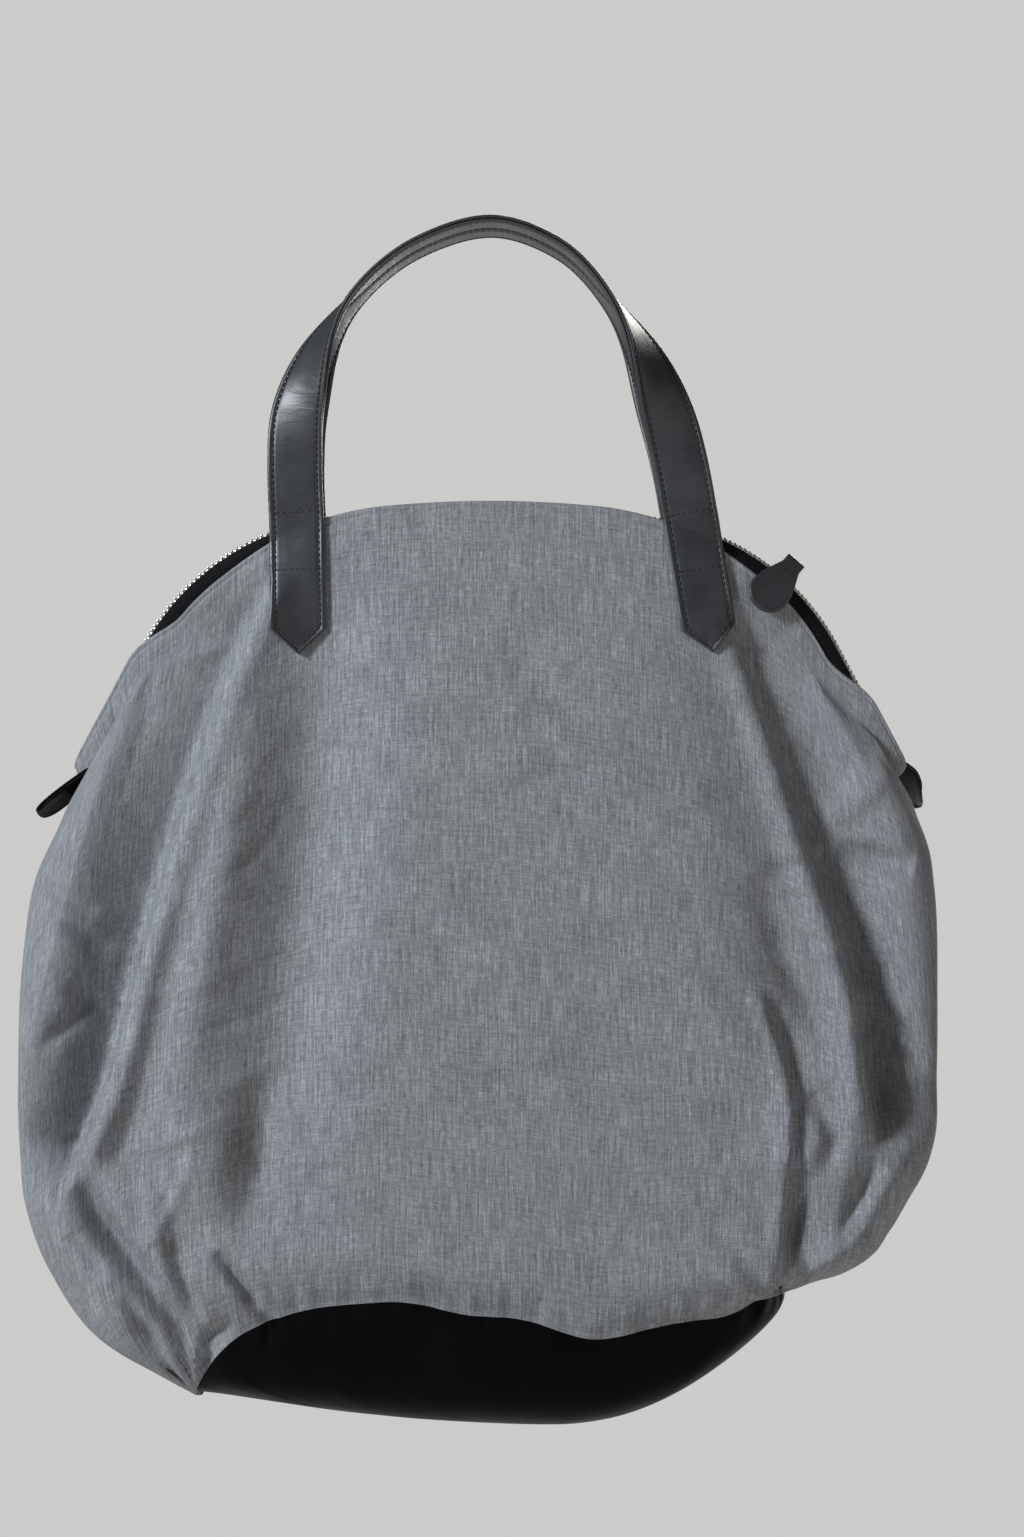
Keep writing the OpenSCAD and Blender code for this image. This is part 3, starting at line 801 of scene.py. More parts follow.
def bright_metal():
    """Plated metal with fine rubbed scratches and a little tarnish."""
    settings = bpy.context.scene.bag_zip
    finish = Finish("zip_plated_metal", tuple(settings.metal_colour), 0.27, Metallic=1.0)
    rub = finish.grain(False, (0.6 * MM, 2.5 * MM, 0.6 * MM), 3.0, 0.6)
    tarnish = finish.grain(False, 3 * (7 * MM,), 3.0)
    shade = finish.mottled(tarnish, settings.metal_colour, 0.72, 1.0)
    rough = finish.ramp(rub, [(0.3, grey(0.2)), (0.7, grey(0.38))])
    return finish.paint(shade, rough, finish.bump(rub, 0.05 * MM, 0.4))


def sewing_thread(name, colour_value):
    """Twisted thread: tiny slanting strands."""
    finish = Finish(name, colour_value, 0.6, Sheen_Weight=0.15, Sheen_Roughness=0.4)
    strand = finish.grain(False, 3 * (0.25 * MM,), 1.0)
    shade = finish.mottled(strand, colour_value, 0.6, 1.6)
    return finish.paint(shade, None, finish.bump(strand, 0.06 * MM, 0.6))


def finish_named(name, maker):
    """A finish is made once and shared."""
    return bpy.data.materials.get(name) or maker()


def strap_leather():
    settings = bpy.context.scene.bag_leather
    return finish_named("strap_leather_grain", lambda: leather(
        "strap_leather_grain", tuple(settings.strap_colour), 0.43, 0.6, 0.8 * MM, 24 * MM, True))


def base_leather():
    settings = bpy.context.scene.bag_leather
    return finish_named("base_leather_grain", lambda: leather(
        "base_leather_grain", tuple(settings.base_colour), 0.40, 0.05, 0.9 * MM, 55 * MM, False))


def dark_thread():
    return finish_named("strap_thread", lambda: sewing_thread(
        "strap_thread", tuple(bpy.context.scene.bag_leather.thread_colour)))


def hem_thread():
    return finish_named("hem_thread", lambda: sewing_thread("hem_thread", (0.16, 0.175, 0.2)))


# cloth body

# in mm down from the mouth: where the finely stepped hem ends, and where it is stitched
HEM = 6.0
HEM_STITCH = 3.6


def cloth_levels(rows):
    """Shares of the way down: fine steps over the rolled hem, then even ones."""
    hem = np.arange(0, HEM, 0.6) * MM / CLOTH_H
    return np.concatenate([hem, np.linspace(HEM * MM / CLOTH_H, 1.0, rows - len(hem))])


def hem_shape(fallen, thickness):
    """Insets of the two faces near the mouth: a folded edge, rounded over and nipped by its stitching.

    The edge closes as a circle does, sqrt(1 - t^2), and a narrow bell nips it at the stitch line.
    """
    swell = 0.5 * MM * (1 - ease((fallen / MM - 9) / 3))
    nip = 0.5 * MM * bell((fallen / MM - HEM_STITCH) / 0.8)
    closing = np.sqrt(np.clip(1 - (1 - np.clip(fallen / (1.1 * MM), 0, 1)) ** 2, 0, 1))
    middle = thickness / 2
    half = (middle + swell) * lerp(0.05, 1.0, closing)
    return middle - half + nip, middle + half


def girth(d, v, front):
    """Distance round the smooth body from its middle column, so that the weave isn't stretched."""
    smooth = cloth(d, v, 0.0, front, 0.0)
    steps = np.linalg.norm(np.diff(smooth, axis=1), axis=-1)
    gone = np.concatenate([np.zeros_like(steps[:, :1]), np.cumsum(steps, axis=1)], axis=1)
    return gone - gone[:, gone.shape[1] // 2, None]


def build_cloth(front):
    """One side of the body: a closed panel with a rolled and stitched hem along the zip."""
    settings = bpy.context.scene.bag_cloth
    d = crowded(settings.columns)[None, :]
    v = cloth_levels(settings.rows)[:, None]
    outer_in, inner_in = hem_shape(v * CLOTH_H, settings.thickness)
    outer = cloth(d, v, outer_in, front, settings.fold_scale)
    inner = cloth(d, v, inner_in, front, settings.fold_scale)
    points, quads = shell(outer, inner)
    side, facing = side_of(front)
    piece = add_piece(f"{side}_cloth_panel", points, quads, shell_uv(girth(d, v, front), v * CLOTH_H),
                      finish_named("chambray_cloth", chambray))
    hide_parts(f"{side}_panel")
    stitch_d = np.linspace(-ZIP_END, ZIP_END, 900)
    stitch_v = np.full_like(stitch_d, HEM_STITCH * MM / CLOTH_H)
    path = cloth(stitch_d, stitch_v, 0.15 * MM, front, settings.fold_scale)
    up = np.broadcast_to(np.array([0.0, facing, 0.25]), path.shape)
    points, quads, uv = stitches(path, up, bpy.context.scene.bag_leather.stitch_pitch, 0.22 * MM)
    add_piece(f"{side}_hem_stitches", points, quads, uv, hem_thread())


def within(values, low, high):
    """The values of the cloth's own grid that lie in a range, so that its layers nest in the folds."""
    return values[(values >= low) & (values <= high)]


def build_sheet(name, d, v, inset, thickness, front, finish, node):
    """A layer that follows the cloth behind its face."""
    scale = bpy.context.scene.bag_cloth.fold_scale
    d, v = d[None, :], v[:, None]
    outer = cloth(d, v, inset, front, scale)
    inner = cloth(d, v, inset + thickness, front, scale)
    points, quads = shell(outer, inner)
    piece = add_piece(name, points, quads, shell_uv(girth(d, v, front), v * CLOTH_H), finish)
    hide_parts(node)


def build_lining(front):
    """The lining of one side, just behind the cloth."""
    settings = bpy.context.scene.bag_cloth
    side, _ = side_of(front)
    levels = within(cloth_levels(settings.rows), 0.02, 1)
    build_sheet(f"{side}_lining_sheet", crowded(settings.columns), levels, settings.lining_inset,
                settings.lining_thickness, front, finish_named("lining_twill", lining_cloth),
                f"{side}_lining")


def build_stiffeners(front):
    """The two patches behind the handle ends, one piece a side."""
    settings = bpy.context.scene.bag_cloth
    half_patch, near, far = 21 * MM, 1.5 * MM, 2.1 * MM
    parts = []
    for foot in HANDLE_FEET:
        middle = math.copysign(float(np.interp(abs(foot), mouth_x, mouth_d)), foot)
        d = within(crowded(settings.columns), middle - half_patch, middle + half_patch)[None, :]
        v = within(cloth_levels(settings.rows), 0.04, 0.2)[:, None]
        outer = cloth(d, v, near, front, settings.fold_scale)
        inner = cloth(d, v, far, front, settings.fold_scale)
        parts.append((*shell(outer, inner), shell_uv(d, v)))
    side, _ = side_of(front)
    points, quads, uv = together(parts)
    piece = add_piece(f"{side}_handle_stiffeners", points, quads, uv,
                      finish_named("stiffener_felt", stiffener))
    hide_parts(f"{side}_reinforcement")


def build_pocket():
    """A patch pocket on the back lining, in the place that the frame gives it."""
    settings = bpy.context.scene.bag_cloth
    behind_lining = 3.3 * MM
    low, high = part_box("inner_pocket")
    d = within(crowded(settings.columns), low.x, high.x)
    v = within(cloth_levels(settings.rows), (EDGE_Z - high.z) / CLOTH_H, (EDGE_Z - low.z) / CLOTH_H)
    build_sheet("back_pocket_patch", d, v, behind_lining, settings.lining_thickness, False,
                finish_named("lining_twill", lining_cloth), "inner_pocket")


# leather base

def underside(x):
    """Lowest line of the base: sags left of its middle and rises fast towards the right end."""
    off = x / MM - 37
    return FLOOR_Z + MM * (-3 + np.where(off < 0, 0.00045, 0.0032) * off ** 2)


def tray(inset, turns, scale):
    """Rings of the base from the cloth's own edge to the middle of its underside.

    Ring q is the seam's outline shrunk by cos^0.6 and lowered by sin^0.6 of 90q degrees, which makes
    sides that stand nearly upright and turn under in a round curve. The gathers at the seam are
    averaged away just below it.
    """
    columns = crowded(bpy.context.scene.bag_cloth.columns)
    front = cloth(columns, np.ones_like(columns), inset, True, scale)
    back = cloth(columns, np.ones_like(columns), inset, False, scale)[::-1]
    outline = np.concatenate([front[:-1], back[:-1]])
    span = 25
    wrapped = np.pad(outline, ((span // 2, span // 2), (0, 0)), mode="wrap")
    calm = np.stack([np.convolve(wrapped[:, k], np.ones(span) / span, "valid") for k in range(3)], axis=-1)
    q = (np.linspace(0, 1, turns) ** 1.15)[:, None] * 0.999
    shrink = np.cos(np.pi / 2 * q) ** 0.6
    sink = np.sin(np.pi / 2 * q) ** 0.6
    rings = lerp(outline[None], calm[None], ease(2.5 * sink)[..., None])
    x = rings[..., 0] * shrink
    y = rings[..., 1] * shrink
    z = lerp(rings[..., 2], underside(x) + inset, sink)
    slack = 1.6 * np.sin(x / MM / 37 + 1.3) + 0.7 * np.sin(x / MM / 23)
    y = y + np.sign(y) * slack * MM * np.sin(np.pi * sink) * np.minimum(1, np.abs(y) / (20 * MM))
    return np.stack([x, y, z], axis=-1)


def build_tray(name, inset, thickness, turns, finish, node):
    scale = bpy.context.scene.bag_cloth.fold_scale
    outer = tray(inset, turns, scale)
    inner = tray(inset + thickness, turns, scale)
    rows, cols = outer.shape[:2]
    index = np.arange(rows * cols).reshape(rows, cols)
    right = np.roll(index, -1, axis=1)
    rings = np.stack([index[:-1], right[:-1], right[1:], index[1:]], axis=-1).reshape(-1, 4)
    count = rows * cols
    top = np.stack([right[0], index[0], index[0] + count, right[0] + count], axis=-1)
    half = cols // 2
    a = index[-1, :half]
    b = index[-1, ::-1][:half]
    pole = np.stack([a[:-1], a[1:], b[1:], b[:-1]], axis=-1)
    quads = np.concatenate([rings, pole, rings[:, ::-1] + count, pole[:, ::-1] + count, top])
    points = np.concatenate([outer.reshape(-1, 3), inner.reshape(-1, 3)])
    piece = add_piece(name, points, quads, points[:, [0, 2]], finish)
    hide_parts(node)


# zip and its teeth

def row_y(d):
    """Distance of a tooth row from the middle: meshed right of the slider, easing open left of it."""
    free = np.maximum(MESHED_Y, depth(0.0) * round_off(mouth(d)[0] / MOUTH_HALF, 0.0) - 3.4 * MM)
    return lerp(MESHED_Y, free, ease((SLIDER_D - 7 * MM - d) / (70 * MM)))


def build_tape(front):
    """A tape from under its teeth to the cloth's edge, then down inside the hem."""
    settings = bpy.context.scene.bag_cloth
    d = np.linspace(-ZIP_END, ZIP_END, 420)
    v = np.maximum(0.0, 2 * MM - lip(d)) / CLOTH_H
    inset, tuck = 1.5 * MM, 0.018
    edge = cloth(d, v, inset, front, settings.fold_scale)
    tucked = cloth(d, v + tuck, inset, front, settings.fold_scale)
    x, z = zip_line(d, -ROW_H / 2)
    side, sign = side_of(front)
    near = np.stack([x, sign * (row_y(d) + ROW_W / 2), z], axis=-1)
    inner = np.stack([x, sign * (row_y(d) - ROW_W * 0.2), z + 0.3 * MM], axis=-1)
    t = np.linspace(0, 1, 9)[:, None, None]
    bow = np.sin(np.pi * t) * np.stack([0 * d, sign * 0.5 * MM + 0 * d, 0 * d], axis=-1)
    rows = np.concatenate([inner[None], lerp(near[None], edge[None], t) + bow,
                           lerp(edge[None], tucked[None], t[2::2])])
    normal = normals_of(rows)
    thickness = bpy.context.scene.bag_zip.tape_thickness
    bead = np.zeros((len(rows), 1, 1))
    bead[:2] = 0.35 * MM
    points, quads = shell(rows + normal * (thickness / 2 + bead), rows - normal * (thickness / 2 + bead))
    across = gone_along(rows[:, len(d) // 2])
    piece = add_piece(f"{side}_tape", points, quads, shell_uv(d[None, :], across[:, None]),
                      finish_named("zip_tape_weave", tape_weave))
    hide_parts(f"{side}_zip_tape")


def build_teeth(front):
    """Cast teeth, one block each with a rounded head, on alternate pitches front and back."""
    pitch = bpy.context.scene.bag_zip.tooth_pitch
    count = int(2 * ZIP_END / pitch)
    d = -ZIP_END + (np.arange(count) + (0.25 if front else 0.75)) * pitch
    x, z = zip_line(d)
    turn = zip_turn(d)
    side, sign = side_of(front)
    angles = (np.arange(8) + 0.5) * np.pi / 4
    half_long, half_high = 0.78 * MM, 1.25 * MM
    lengthwise = np.sign(np.cos(angles)) * np.abs(np.cos(angles)) ** 0.5 * half_long
    upright = np.sign(np.sin(angles)) * np.abs(np.sin(angles)) ** 0.5 * half_high
    reach = np.array([-1.28, -1.0, 1.0, 1.28]) * MM
    size = np.array([0.72, 1.0, 1.0, 0.66])
    along = size[:, None] * lengthwise[None, :]
    up = size[:, None] * upright[None, :]
    away = np.broadcast_to(-reach[:, None], along.shape)
    cos, sin = np.cos(turn)[:, None, None], np.sin(turn)[:, None, None]
    px = x[:, None, None] + along[None] * cos + up[None] * sin
    pz = z[:, None, None] - along[None] * sin + up[None] * cos
    py = sign * (row_y(d)[:, None, None] + away[None])
    points = np.stack([px, py, pz], axis=-1).reshape(-1, 3)
    one = tube_quads(4, 8)
    for start in (0, 24):
        one += [[start + k for k in corner] for corner in ([0, 1, 2, 3], [0, 3, 4, 7], [4, 5, 6, 7])]
    one = np.array(one)
    one[-6:-3] = one[-6:-3, ::-1]
    quads = (one[None] + 32 * np.arange(count)[:, None, None]).reshape(-1, 4)
    piece = add_piece(f"{side}_teeth", points, quads, np.zeros((len(points), 2)),
                      finish_named("zip_plated_metal", bright_metal), sharp=40)
    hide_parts(f"{side}_zip_teeth")


def dress_metal_nodes():
    """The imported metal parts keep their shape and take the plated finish."""
    metal = finish_named("zip_plated_metal", bright_metal)
    for name in ("zip_start_stops", "zip_end_stop", "slider_body", "slider_bridge", "pull_loop"):
        for material_slot in frame["nodes"][name].material_slots:
            material_slot.material = metal


# leather tabs and puller

def leather_leaf(place, outline, reach, near, far, rows=60, cols=25, start=0.0):
    """One leather layer cut to an outline, with its edges rounded.

    outline(l) is the half width at length l. place(l, w, h) puts a flat point into space. The two
    faces close towards the edge as a superellipse, (1 - t^6)^(1/6).
    """
    l = start + (reach - start) * np.sin(np.linspace(0, np.pi / 2, rows))[:, None]
    across = sine_spaced(cols)[None, :]
    w = across * outline(l)
    end_close = np.clip((reach - l) / (1.2 * MM), 0, 1) * np.clip((l - start) / (0.6 * MM) + 0.2, 0, 1)
    close = rounded(across, 6) * np.sqrt(end_close)
    middle, half = (near + far) / 2, (far - near) / 2
    welt = 0.22 * MM * bell((outline(l) * (1 - np.abs(across)) - 1.0 * MM) / (0.9 * MM))
    high = place(l + 0 * w, w, middle + (half + welt) * lerp(0.06, 1, close))
    low = place(l + 0 * w, w, middle - half * lerp(0.06, 1, close))
    points, quads = shell(high, low)
    return points, quads, shell_uv(w, l)


def leaf_edge_path(outline, reach, inset, start, n=160):
    """Flat (l, w) stations along a leaf's edge at a fixed inset, round its end and back."""
    l = start + (reach - inset - start) * np.sin(np.linspace(0, np.pi / 2, n))
    w = np.maximum(0.0, outline(np.minimum(reach, l + inset * ((l - start) / (reach - start)) ** 6)) - inset)
    w[-1] = 0.0
    return np.concatenate([l, l[-2::-1]]), np.concatenate([-w, w[-2::-1]])


def sewn_through(place, up, l, w, heights, pitch, radius):
    """One flat run of stitches, shown on the upper and the lower face of a leather piece."""
    parts = []
    for height, direction in zip(heights, (1.0, -1.0)):
        path = place(l, w, np.full_like(l, height))
        lift = np.broadcast_to(np.asarray(up, float) * direction, path.shape)
        parts.append(stitches(path, lift, pitch, radius))
    return together(parts)


def placed_in(origin, along, across, up):
    """A function that puts flat (l, w, h) points into a frame in space."""
    origin, along, across, up = (np.asarray(part, float) for part in (origin, along, across, up))

    def place(l, w, h):
        return (origin + np.asarray(l)[..., None] * along + np.asarray(w)[..., None] * across
                + np.asarray(h)[..., None] * up)
    return place


def turned(axis, degrees, vector):
    """Vector turned about an axis by Rodrigues' formula."""
    axis = np.asarray(axis, float) / np.linalg.norm(axis)
    angle = math.radians(degrees)
    vector = np.asarray(vector, float)
    return (vector * math.cos(angle) + np.cross(axis, vector) * math.sin(angle)
            + axis * np.dot(axis, vector) * (1 - math.cos(angle)))


def tab_outline(reach, half):
    """Straight sides and a rounded end: the end third follows a superellipse."""
    def outline(l):
        t = np.clip((l - reach * 0.6) / (reach * 0.4), 0, 1)
        return half * np.maximum(0.02, (1 - t ** 2.6)) ** (1 / 2.6)
    return outline


def build_end_tab(side, origin, along, across, up, bow):
    """A folded leather tab at a zip end: two layers that part a little, sewn round their edge."""
    reach, half, layer = 38 * MM, 12 * MM, 1.5 * MM
    flat = placed_in(origin, along, across, up)

    def curved(l, w, h):
        sag = bow * (l / reach) ** 2
        cup = 0.9 * MM * (w / half) ** 2 * ease(l / reach)
        return flat(l, w, h + sag + cup)
    outline = tab_outline(reach, half)
    for layer_name, near, far in (("face", 0.02 * MM, layer), ("backing", -layer, -0.02 * MM)):
        points, quads, uv = leather_leaf(curved, outline, reach, near, far)
        piece = add_piece(f"{side}_end_tab_{layer_name}", points, quads, uv, base_leather())
        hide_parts(f"{side}_zip_tab_{layer_name}")
    pitch = bpy.context.scene.bag_leather.stitch_pitch
    l, w = leaf_edge_path(outline, reach, 2.4 * MM, 2 * MM)
    points, quads, uv = sewn_through(curved, up, l, w, (layer, -layer), pitch * 0.8, 0.24 * MM)
    add_piece(f"{side}_end_tab_stitches", points, quads, uv, dark_thread())


def build_end_tabs():
    """The left tab points out and down nearly edge on; the right one turns its face to the front."""
    x, z = zip_line(np.array([-HALF_ZIP]), -6 * MM)
    along = turned((0, 1, 0), 148, (1, 0, 0))
    up = turned((0, 1, 0), 148, (0, 0, 1))
    across = turned(along, 16, (0, 1, 0))
    up = turned(along, 16, up)
    build_end_tab("left", (x[0] + 3 * MM, 0, z[0]), along, across, up, 2.5 * MM)
    x, z = zip_line(np.array([HALF_ZIP]), -4 * MM)
    axes = []
    for axis in ((1, 0, 0), (0, 1, 0), (0, 0, 1)):
        axis = turned((1, 0, 0), 76, axis)
        axes.append(turned((0, 0, 1), 52, turned((0, 1, 0), 18, axis)))
    build_end_tab("right", (x[0] - 3 * MM, 1 * MM, z[0]), axes[0], axes[1], axes[2], -2.0 * MM)


def puller_frame():
    """The puller's frame: along the leather from the loop, across it, and out of its face."""
    pivot = np.array(joint_named["puller_swing"]["pos_m"])
    zip_run = -np.array(joint_named["puller_swing"]["axis"])
    out = np.cross(zip_run, (0, 1, 0))
    down = turned(zip_run, -20, -out)
    face = turned(zip_run, -20, (0, -1, 0))
    return pivot, down, zip_run, face


# length of the drop, and half width of the band folded round its loop
PULLER_REACH = 34.5 * MM
BAND_HALF = 5.7 * MM


def puller_outline(l):
    """Half width of the drop: a power of a sine out from the neck, then a half circle."""
    reach, half, neck = PULLER_REACH, 11.5 * MM, 5.0 * MM
    middle = reach - half
    flare = lerp(neck, half, np.sin(np.pi / 2 * np.clip(l / middle, 0, 1)) ** 1.5)
    end = np.sqrt(np.maximum(0.0, half ** 2 - np.maximum(0.0, l - middle) ** 2))
    return np.maximum(np.where(l < middle, flare, end), 0.05 * MM)


def build_puller():
    """Two layers cut as a drop, a band of leather folded round the loop, and edge stitching."""
    pivot, down, across, face = puller_frame()
    place = placed_in(pivot, down, across, face)
    reach, layer, start = PULLER_REACH, 1.5 * MM, 1.5 * MM
    for layer_name, near, far in (("face", 0.02 * MM, layer), ("backing", -layer, -0.03 * MM)):
        points, quads, uv = leather_leaf(place, puller_outline, reach, near, far, 70, 31, start)
        piece = add_piece(f"puller_{layer_name}_leather", points, quads, uv, strap_leather(),
                          "puller")
        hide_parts(f"puller_{layer_name}")
    l, w = leaf_edge_path(puller_outline, reach, 1.7 * MM, 7.5 * MM, 200)
    points, quads, uv = sewn_through(place, face, l, w, (layer + 0.05 * MM, -layer), 2.2 * MM, 0.2 * MM)
    add_piece("puller_stitches", points, quads, uv, dark_thread(), "puller")
    build_puller_band(place, layer)


def build_puller_band(place, layer):
    """The band: a half turn round the loop's wire with two legs down the leather, rounded at its edges."""
    turn = np.linspace(0, np.pi, 15)
    bend = 1.75 * MM
    leg = np.linspace(6.6, 0.4, 12) * MM
    leg_h = lerp(layer + 0.55 * MM, bend, ease(np.linspace(0, 1, len(leg))))
    middle_l = np.concatenate([leg, -bend * np.sin(turn), leg[::-1]])
    middle_h = np.concatenate([leg_h, bend * np.cos(turn), -leg_h[::-1]])
    run = unit(np.stack([np.gradient(middle_l), np.gradient(middle_h)], axis=-1))
    across = sine_spaced(17)[None, :]
    half = 0.5 * MM * lerp(0.1, 1, rounded(across, 6))
    w = across * BAND_HALF + 0 * middle_l[:, None]
    outward_l, outward_h = -run[:, 1][:, None], run[:, 0][:, None]
    high = place(middle_l[:, None] - outward_l * half, w, middle_h[:, None] - outward_h * half)
    low = place(middle_l[:, None] + outward_l * half, w, middle_h[:, None] + outward_h * half)
    points, quads = shell(high, low)
    gone = gone_along(np.stack([middle_l, middle_h], axis=-1))
    piece = add_piece("puller_fold_band", points, quads, shell_uv(w, gone[:, None]), strap_leather(),
                      "puller")
    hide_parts("puller_fold")


# handles

# where each sewn end leaves the cloth and how far it leans
HANDLE_FEET = (-106 * MM, 110 * MM)
HANDLE_LEANS = (math.radians(1), math.radians(9))
# stops of each free leg, in mm across and up from the top edge of the cloth
LEFT_LEG = [(-106, -12), (-107, 20), (-105, 50), (-94, 84), (-74, 113), (-42, 139)]
RIGHT_LEG = [(110, -12), (104, 20), (96, 50), (83, 84), (64, 113), (38, 139)]
# length of the pointed tip
POINT_LEN = 14 * MM


def handle_route(samples=900):
    """Centre, across and through vectors along the free strap, with the distance gone.

    The route is a curve through listed stops of the two legs and the top. The strap leaves the
    cloth flat and turns a quarter about its own run as it rises to the top.
    """
    thickness = bpy.context.scene.bag_leather.strap_thickness
    width = bpy.context.scene.bag_leather.strap_width
    apex = (0.0, -EDGE_Z / MM + thickness / MM / 2)
    stops = np.array(LEFT_LEG + [apex] + RIGHT_LEG[::-1]) * MM
    last = len(stops) - 1
    u = np.linspace(0, last, samples)
    padded = np.concatenate([[2 * stops[0] - stops[1]], stops, [2 * stops[-1] - stops[-2]]])
    i = np.minimum(last - 1, np.floor(u).astype(int))
    t = (u - i)[:, None]
    a, b, c, e = (padded[i + k] for k in range(4))
    place = b + t / 2 * (c - a + t * (2 * a - 5 * b + 4 * c - e + t * (3 * (b - c) + e - a)))
    run = unit(np.gradient(place, axis=0))
    rise = ease(1 - np.abs(u - last / 2) / (last / 2))
    twist = np.pi / 2 * ease(rise * 1.2)
    zero = np.zeros(samples)
    along = np.stack([run[:, 0], zero, run[:, 1]], axis=-1)
    flat = np.stack([run[:, 1], zero, -run[:, 0]], axis=-1)
    across = np.cos(twist)[:, None] * flat - np.sin(twist)[:, None] * np.array([0.0, 1.0, 0.0])
    through = np.cross(along, across)
    y = lerp(HINGE_Y + thickness / 2, -width / 2 - 0.8 * MM, np.sin(twist))
    centre = np.stack([place[:, 0], y, EDGE_Z + place[:, 1]], axis=-1)
    return centre, along, across, through, gone_along(centre)


class Strap:
    """One handle from the tip of its left tab, over the top, to the tip of its right tab."""

    def __init__(self, front):
        settings = bpy.context.scene.bag_leather
        self.front = front
        self.half = settings.strap_width / 2
        self.thickness = settings.strap_thickness
        self.tab = settings.tab_length
        *self.route, self.gone = handle_route()
        self.free = self.gone[-1]
        self.total = self.free + 2 * self.tab

    def half_width(self, t):
        """Full width, narrowing straight to a point at the end of each tab."""
        from_tip = np.minimum(t, self.total - t)
        return self.half * np.clip((from_tip + 0.4 * MM) / POINT_LEN, 0, 1)

    def on_route(self, t, w, h):
        """Free strap: centre plus w across and h out from its inner face."""
        at = t - self.tab
        inside = np.clip(at, 0, self.free)
        centre, along, across, through = (sampled(inside, self.gone, part) for part in self.route)
        return (centre + along * (at - inside)[..., None] + across * w[..., None]
                + through * (self.thickness / 2 - h)[..., None])

    def on_cloth(self, t, w, h, end):
        """Sewn end: straight down the cloth with a slight lean, h out from the cloth's face."""
        foot, lean = HANDLE_FEET[end], HANDLE_LEANS[end]
        down = self.tab - t if end == 0 else t - self.tab - self.free
        side = 1.0 if end == 0 else -1.0
        x = foot + np.sin(lean) * down + side * w * np.cos(lean)
        z = FOOT_Z - np.cos(lean) * down + side * w * np.sin(lean)
        lift = 0.7 * MM * np.exp(-np.maximum(0, down) / (5 * MM))
        scale = bpy.context.scene.bag_cloth.fold_scale
        y = cloth_face_y(x, z, self.front, scale) + 0.15 * MM + lift + h
        return np.stack([x, -y, z], axis=-1)

    def place(self, t, w, h):
        """Point at distance t from the left tip, w across and h out, easing from cloth to route."""
        t, w, h = np.broadcast_arrays(t, w, h)
        reach = 7 * MM
        left = 1 - ease((t - self.tab + reach) / (2 * reach))
        right = ease((t - self.tab - self.free + reach) / (2 * reach))
        free = (1 - left - right)[..., None]
        return (self.on_route(t, w, h) * free + self.on_cloth(t, w, h, 0) * left[..., None]
                + self.on_cloth(t, w, h, 1) * right[..., None])


def strap_profile(across, half_w):
    """Outer face of a turned strap edge: a raised welt by the edge and a groove under the stitching."""
    from_edge = half_w * (1 - np.abs(across)) / MM
    return MM * (0.34 * bell((from_edge - 1.4) / 1.1) - 0.5 * bell((from_edge - 3.0) / 0.8)
                 + 0.12 * ease((from_edge - 4) / 6))


def strap_layer(strap, low, high, outward):
    """One strap layer: a rounded flat section carried from tip to tip."""
    fine, next_step = 18 * MM, 18.9 * MM
    ends = np.linspace(0, 1, 26) ** 1.3 * fine
    long_run = np.linspace(next_step, strap.total - next_step, 300)
    t = np.concatenate([ends, long_run, strap.total - ends[::-1]])[:, None]
    across = sine_spaced(45)[None, :]
    half_w = strap.half_width(t)
    w = across * half_w
    close = rounded(across, 7)
    tip = np.clip(np.minimum(t, strap.total - t) / (1.2 * MM), 0, 1) ** 0.5
    close = close * lerp(0.15, 1.0, tip)
    middle = (low + high) / 2
    half = (high - low) / 2 * lerp(0.06, 1.0, close)
    relief = strap_profile(across, half_w) * close
    top = middle + half + (relief if outward else 0)
    bottom = middle - half - (0 if outward else relief)
    points, quads = shell(strap.place(t, w, top), strap.place(t, w, bottom))
    return points, quads, shell_uv(w, t)


def strap_stitches(strap, face_h, outward):
    """Two runs along the edges that meet at the points, and two lines across each sewn end."""
    settings = bpy.context.scene.bag_leather
    first = 5.5 * MM
    t = np.linspace(first, strap.total - first, 2400)
    from_tip = np.minimum(t, strap.total - t)
    half_w = strap.half * np.clip((from_tip - 3.6 * MM) / POINT_LEN, 0, 1) + 0 * t
    reach = strap.half - settings.stitch_inset
    inset_half = np.minimum(half_w + 0.001 * MM, reach)
    direction = 1.0 if outward else -1.0
    runs = [(t, side * inset_half) for side in (-1, 1)]
    w = np.linspace(-reach, reach, 40)
    left, right = strap.tab, strap.tab + strap.free
    for place in (left + 5.5 * MM, left - 26 * MM, right - 5.5 * MM, right + 26 * MM):
        runs.append((np.full_like(w, place), w))
    parts = []
    for run_t, run_w in runs:
        path = strap.place(run_t, run_w, np.full_like(run_t, face_h))
        above = strap.place(run_t, run_w, np.full_like(run_t, face_h + direction * MM))
        parts.append(stitches(path, (above - path) / MM, settings.stitch_pitch, 0.42 * MM, 0.38))
    return together(parts)


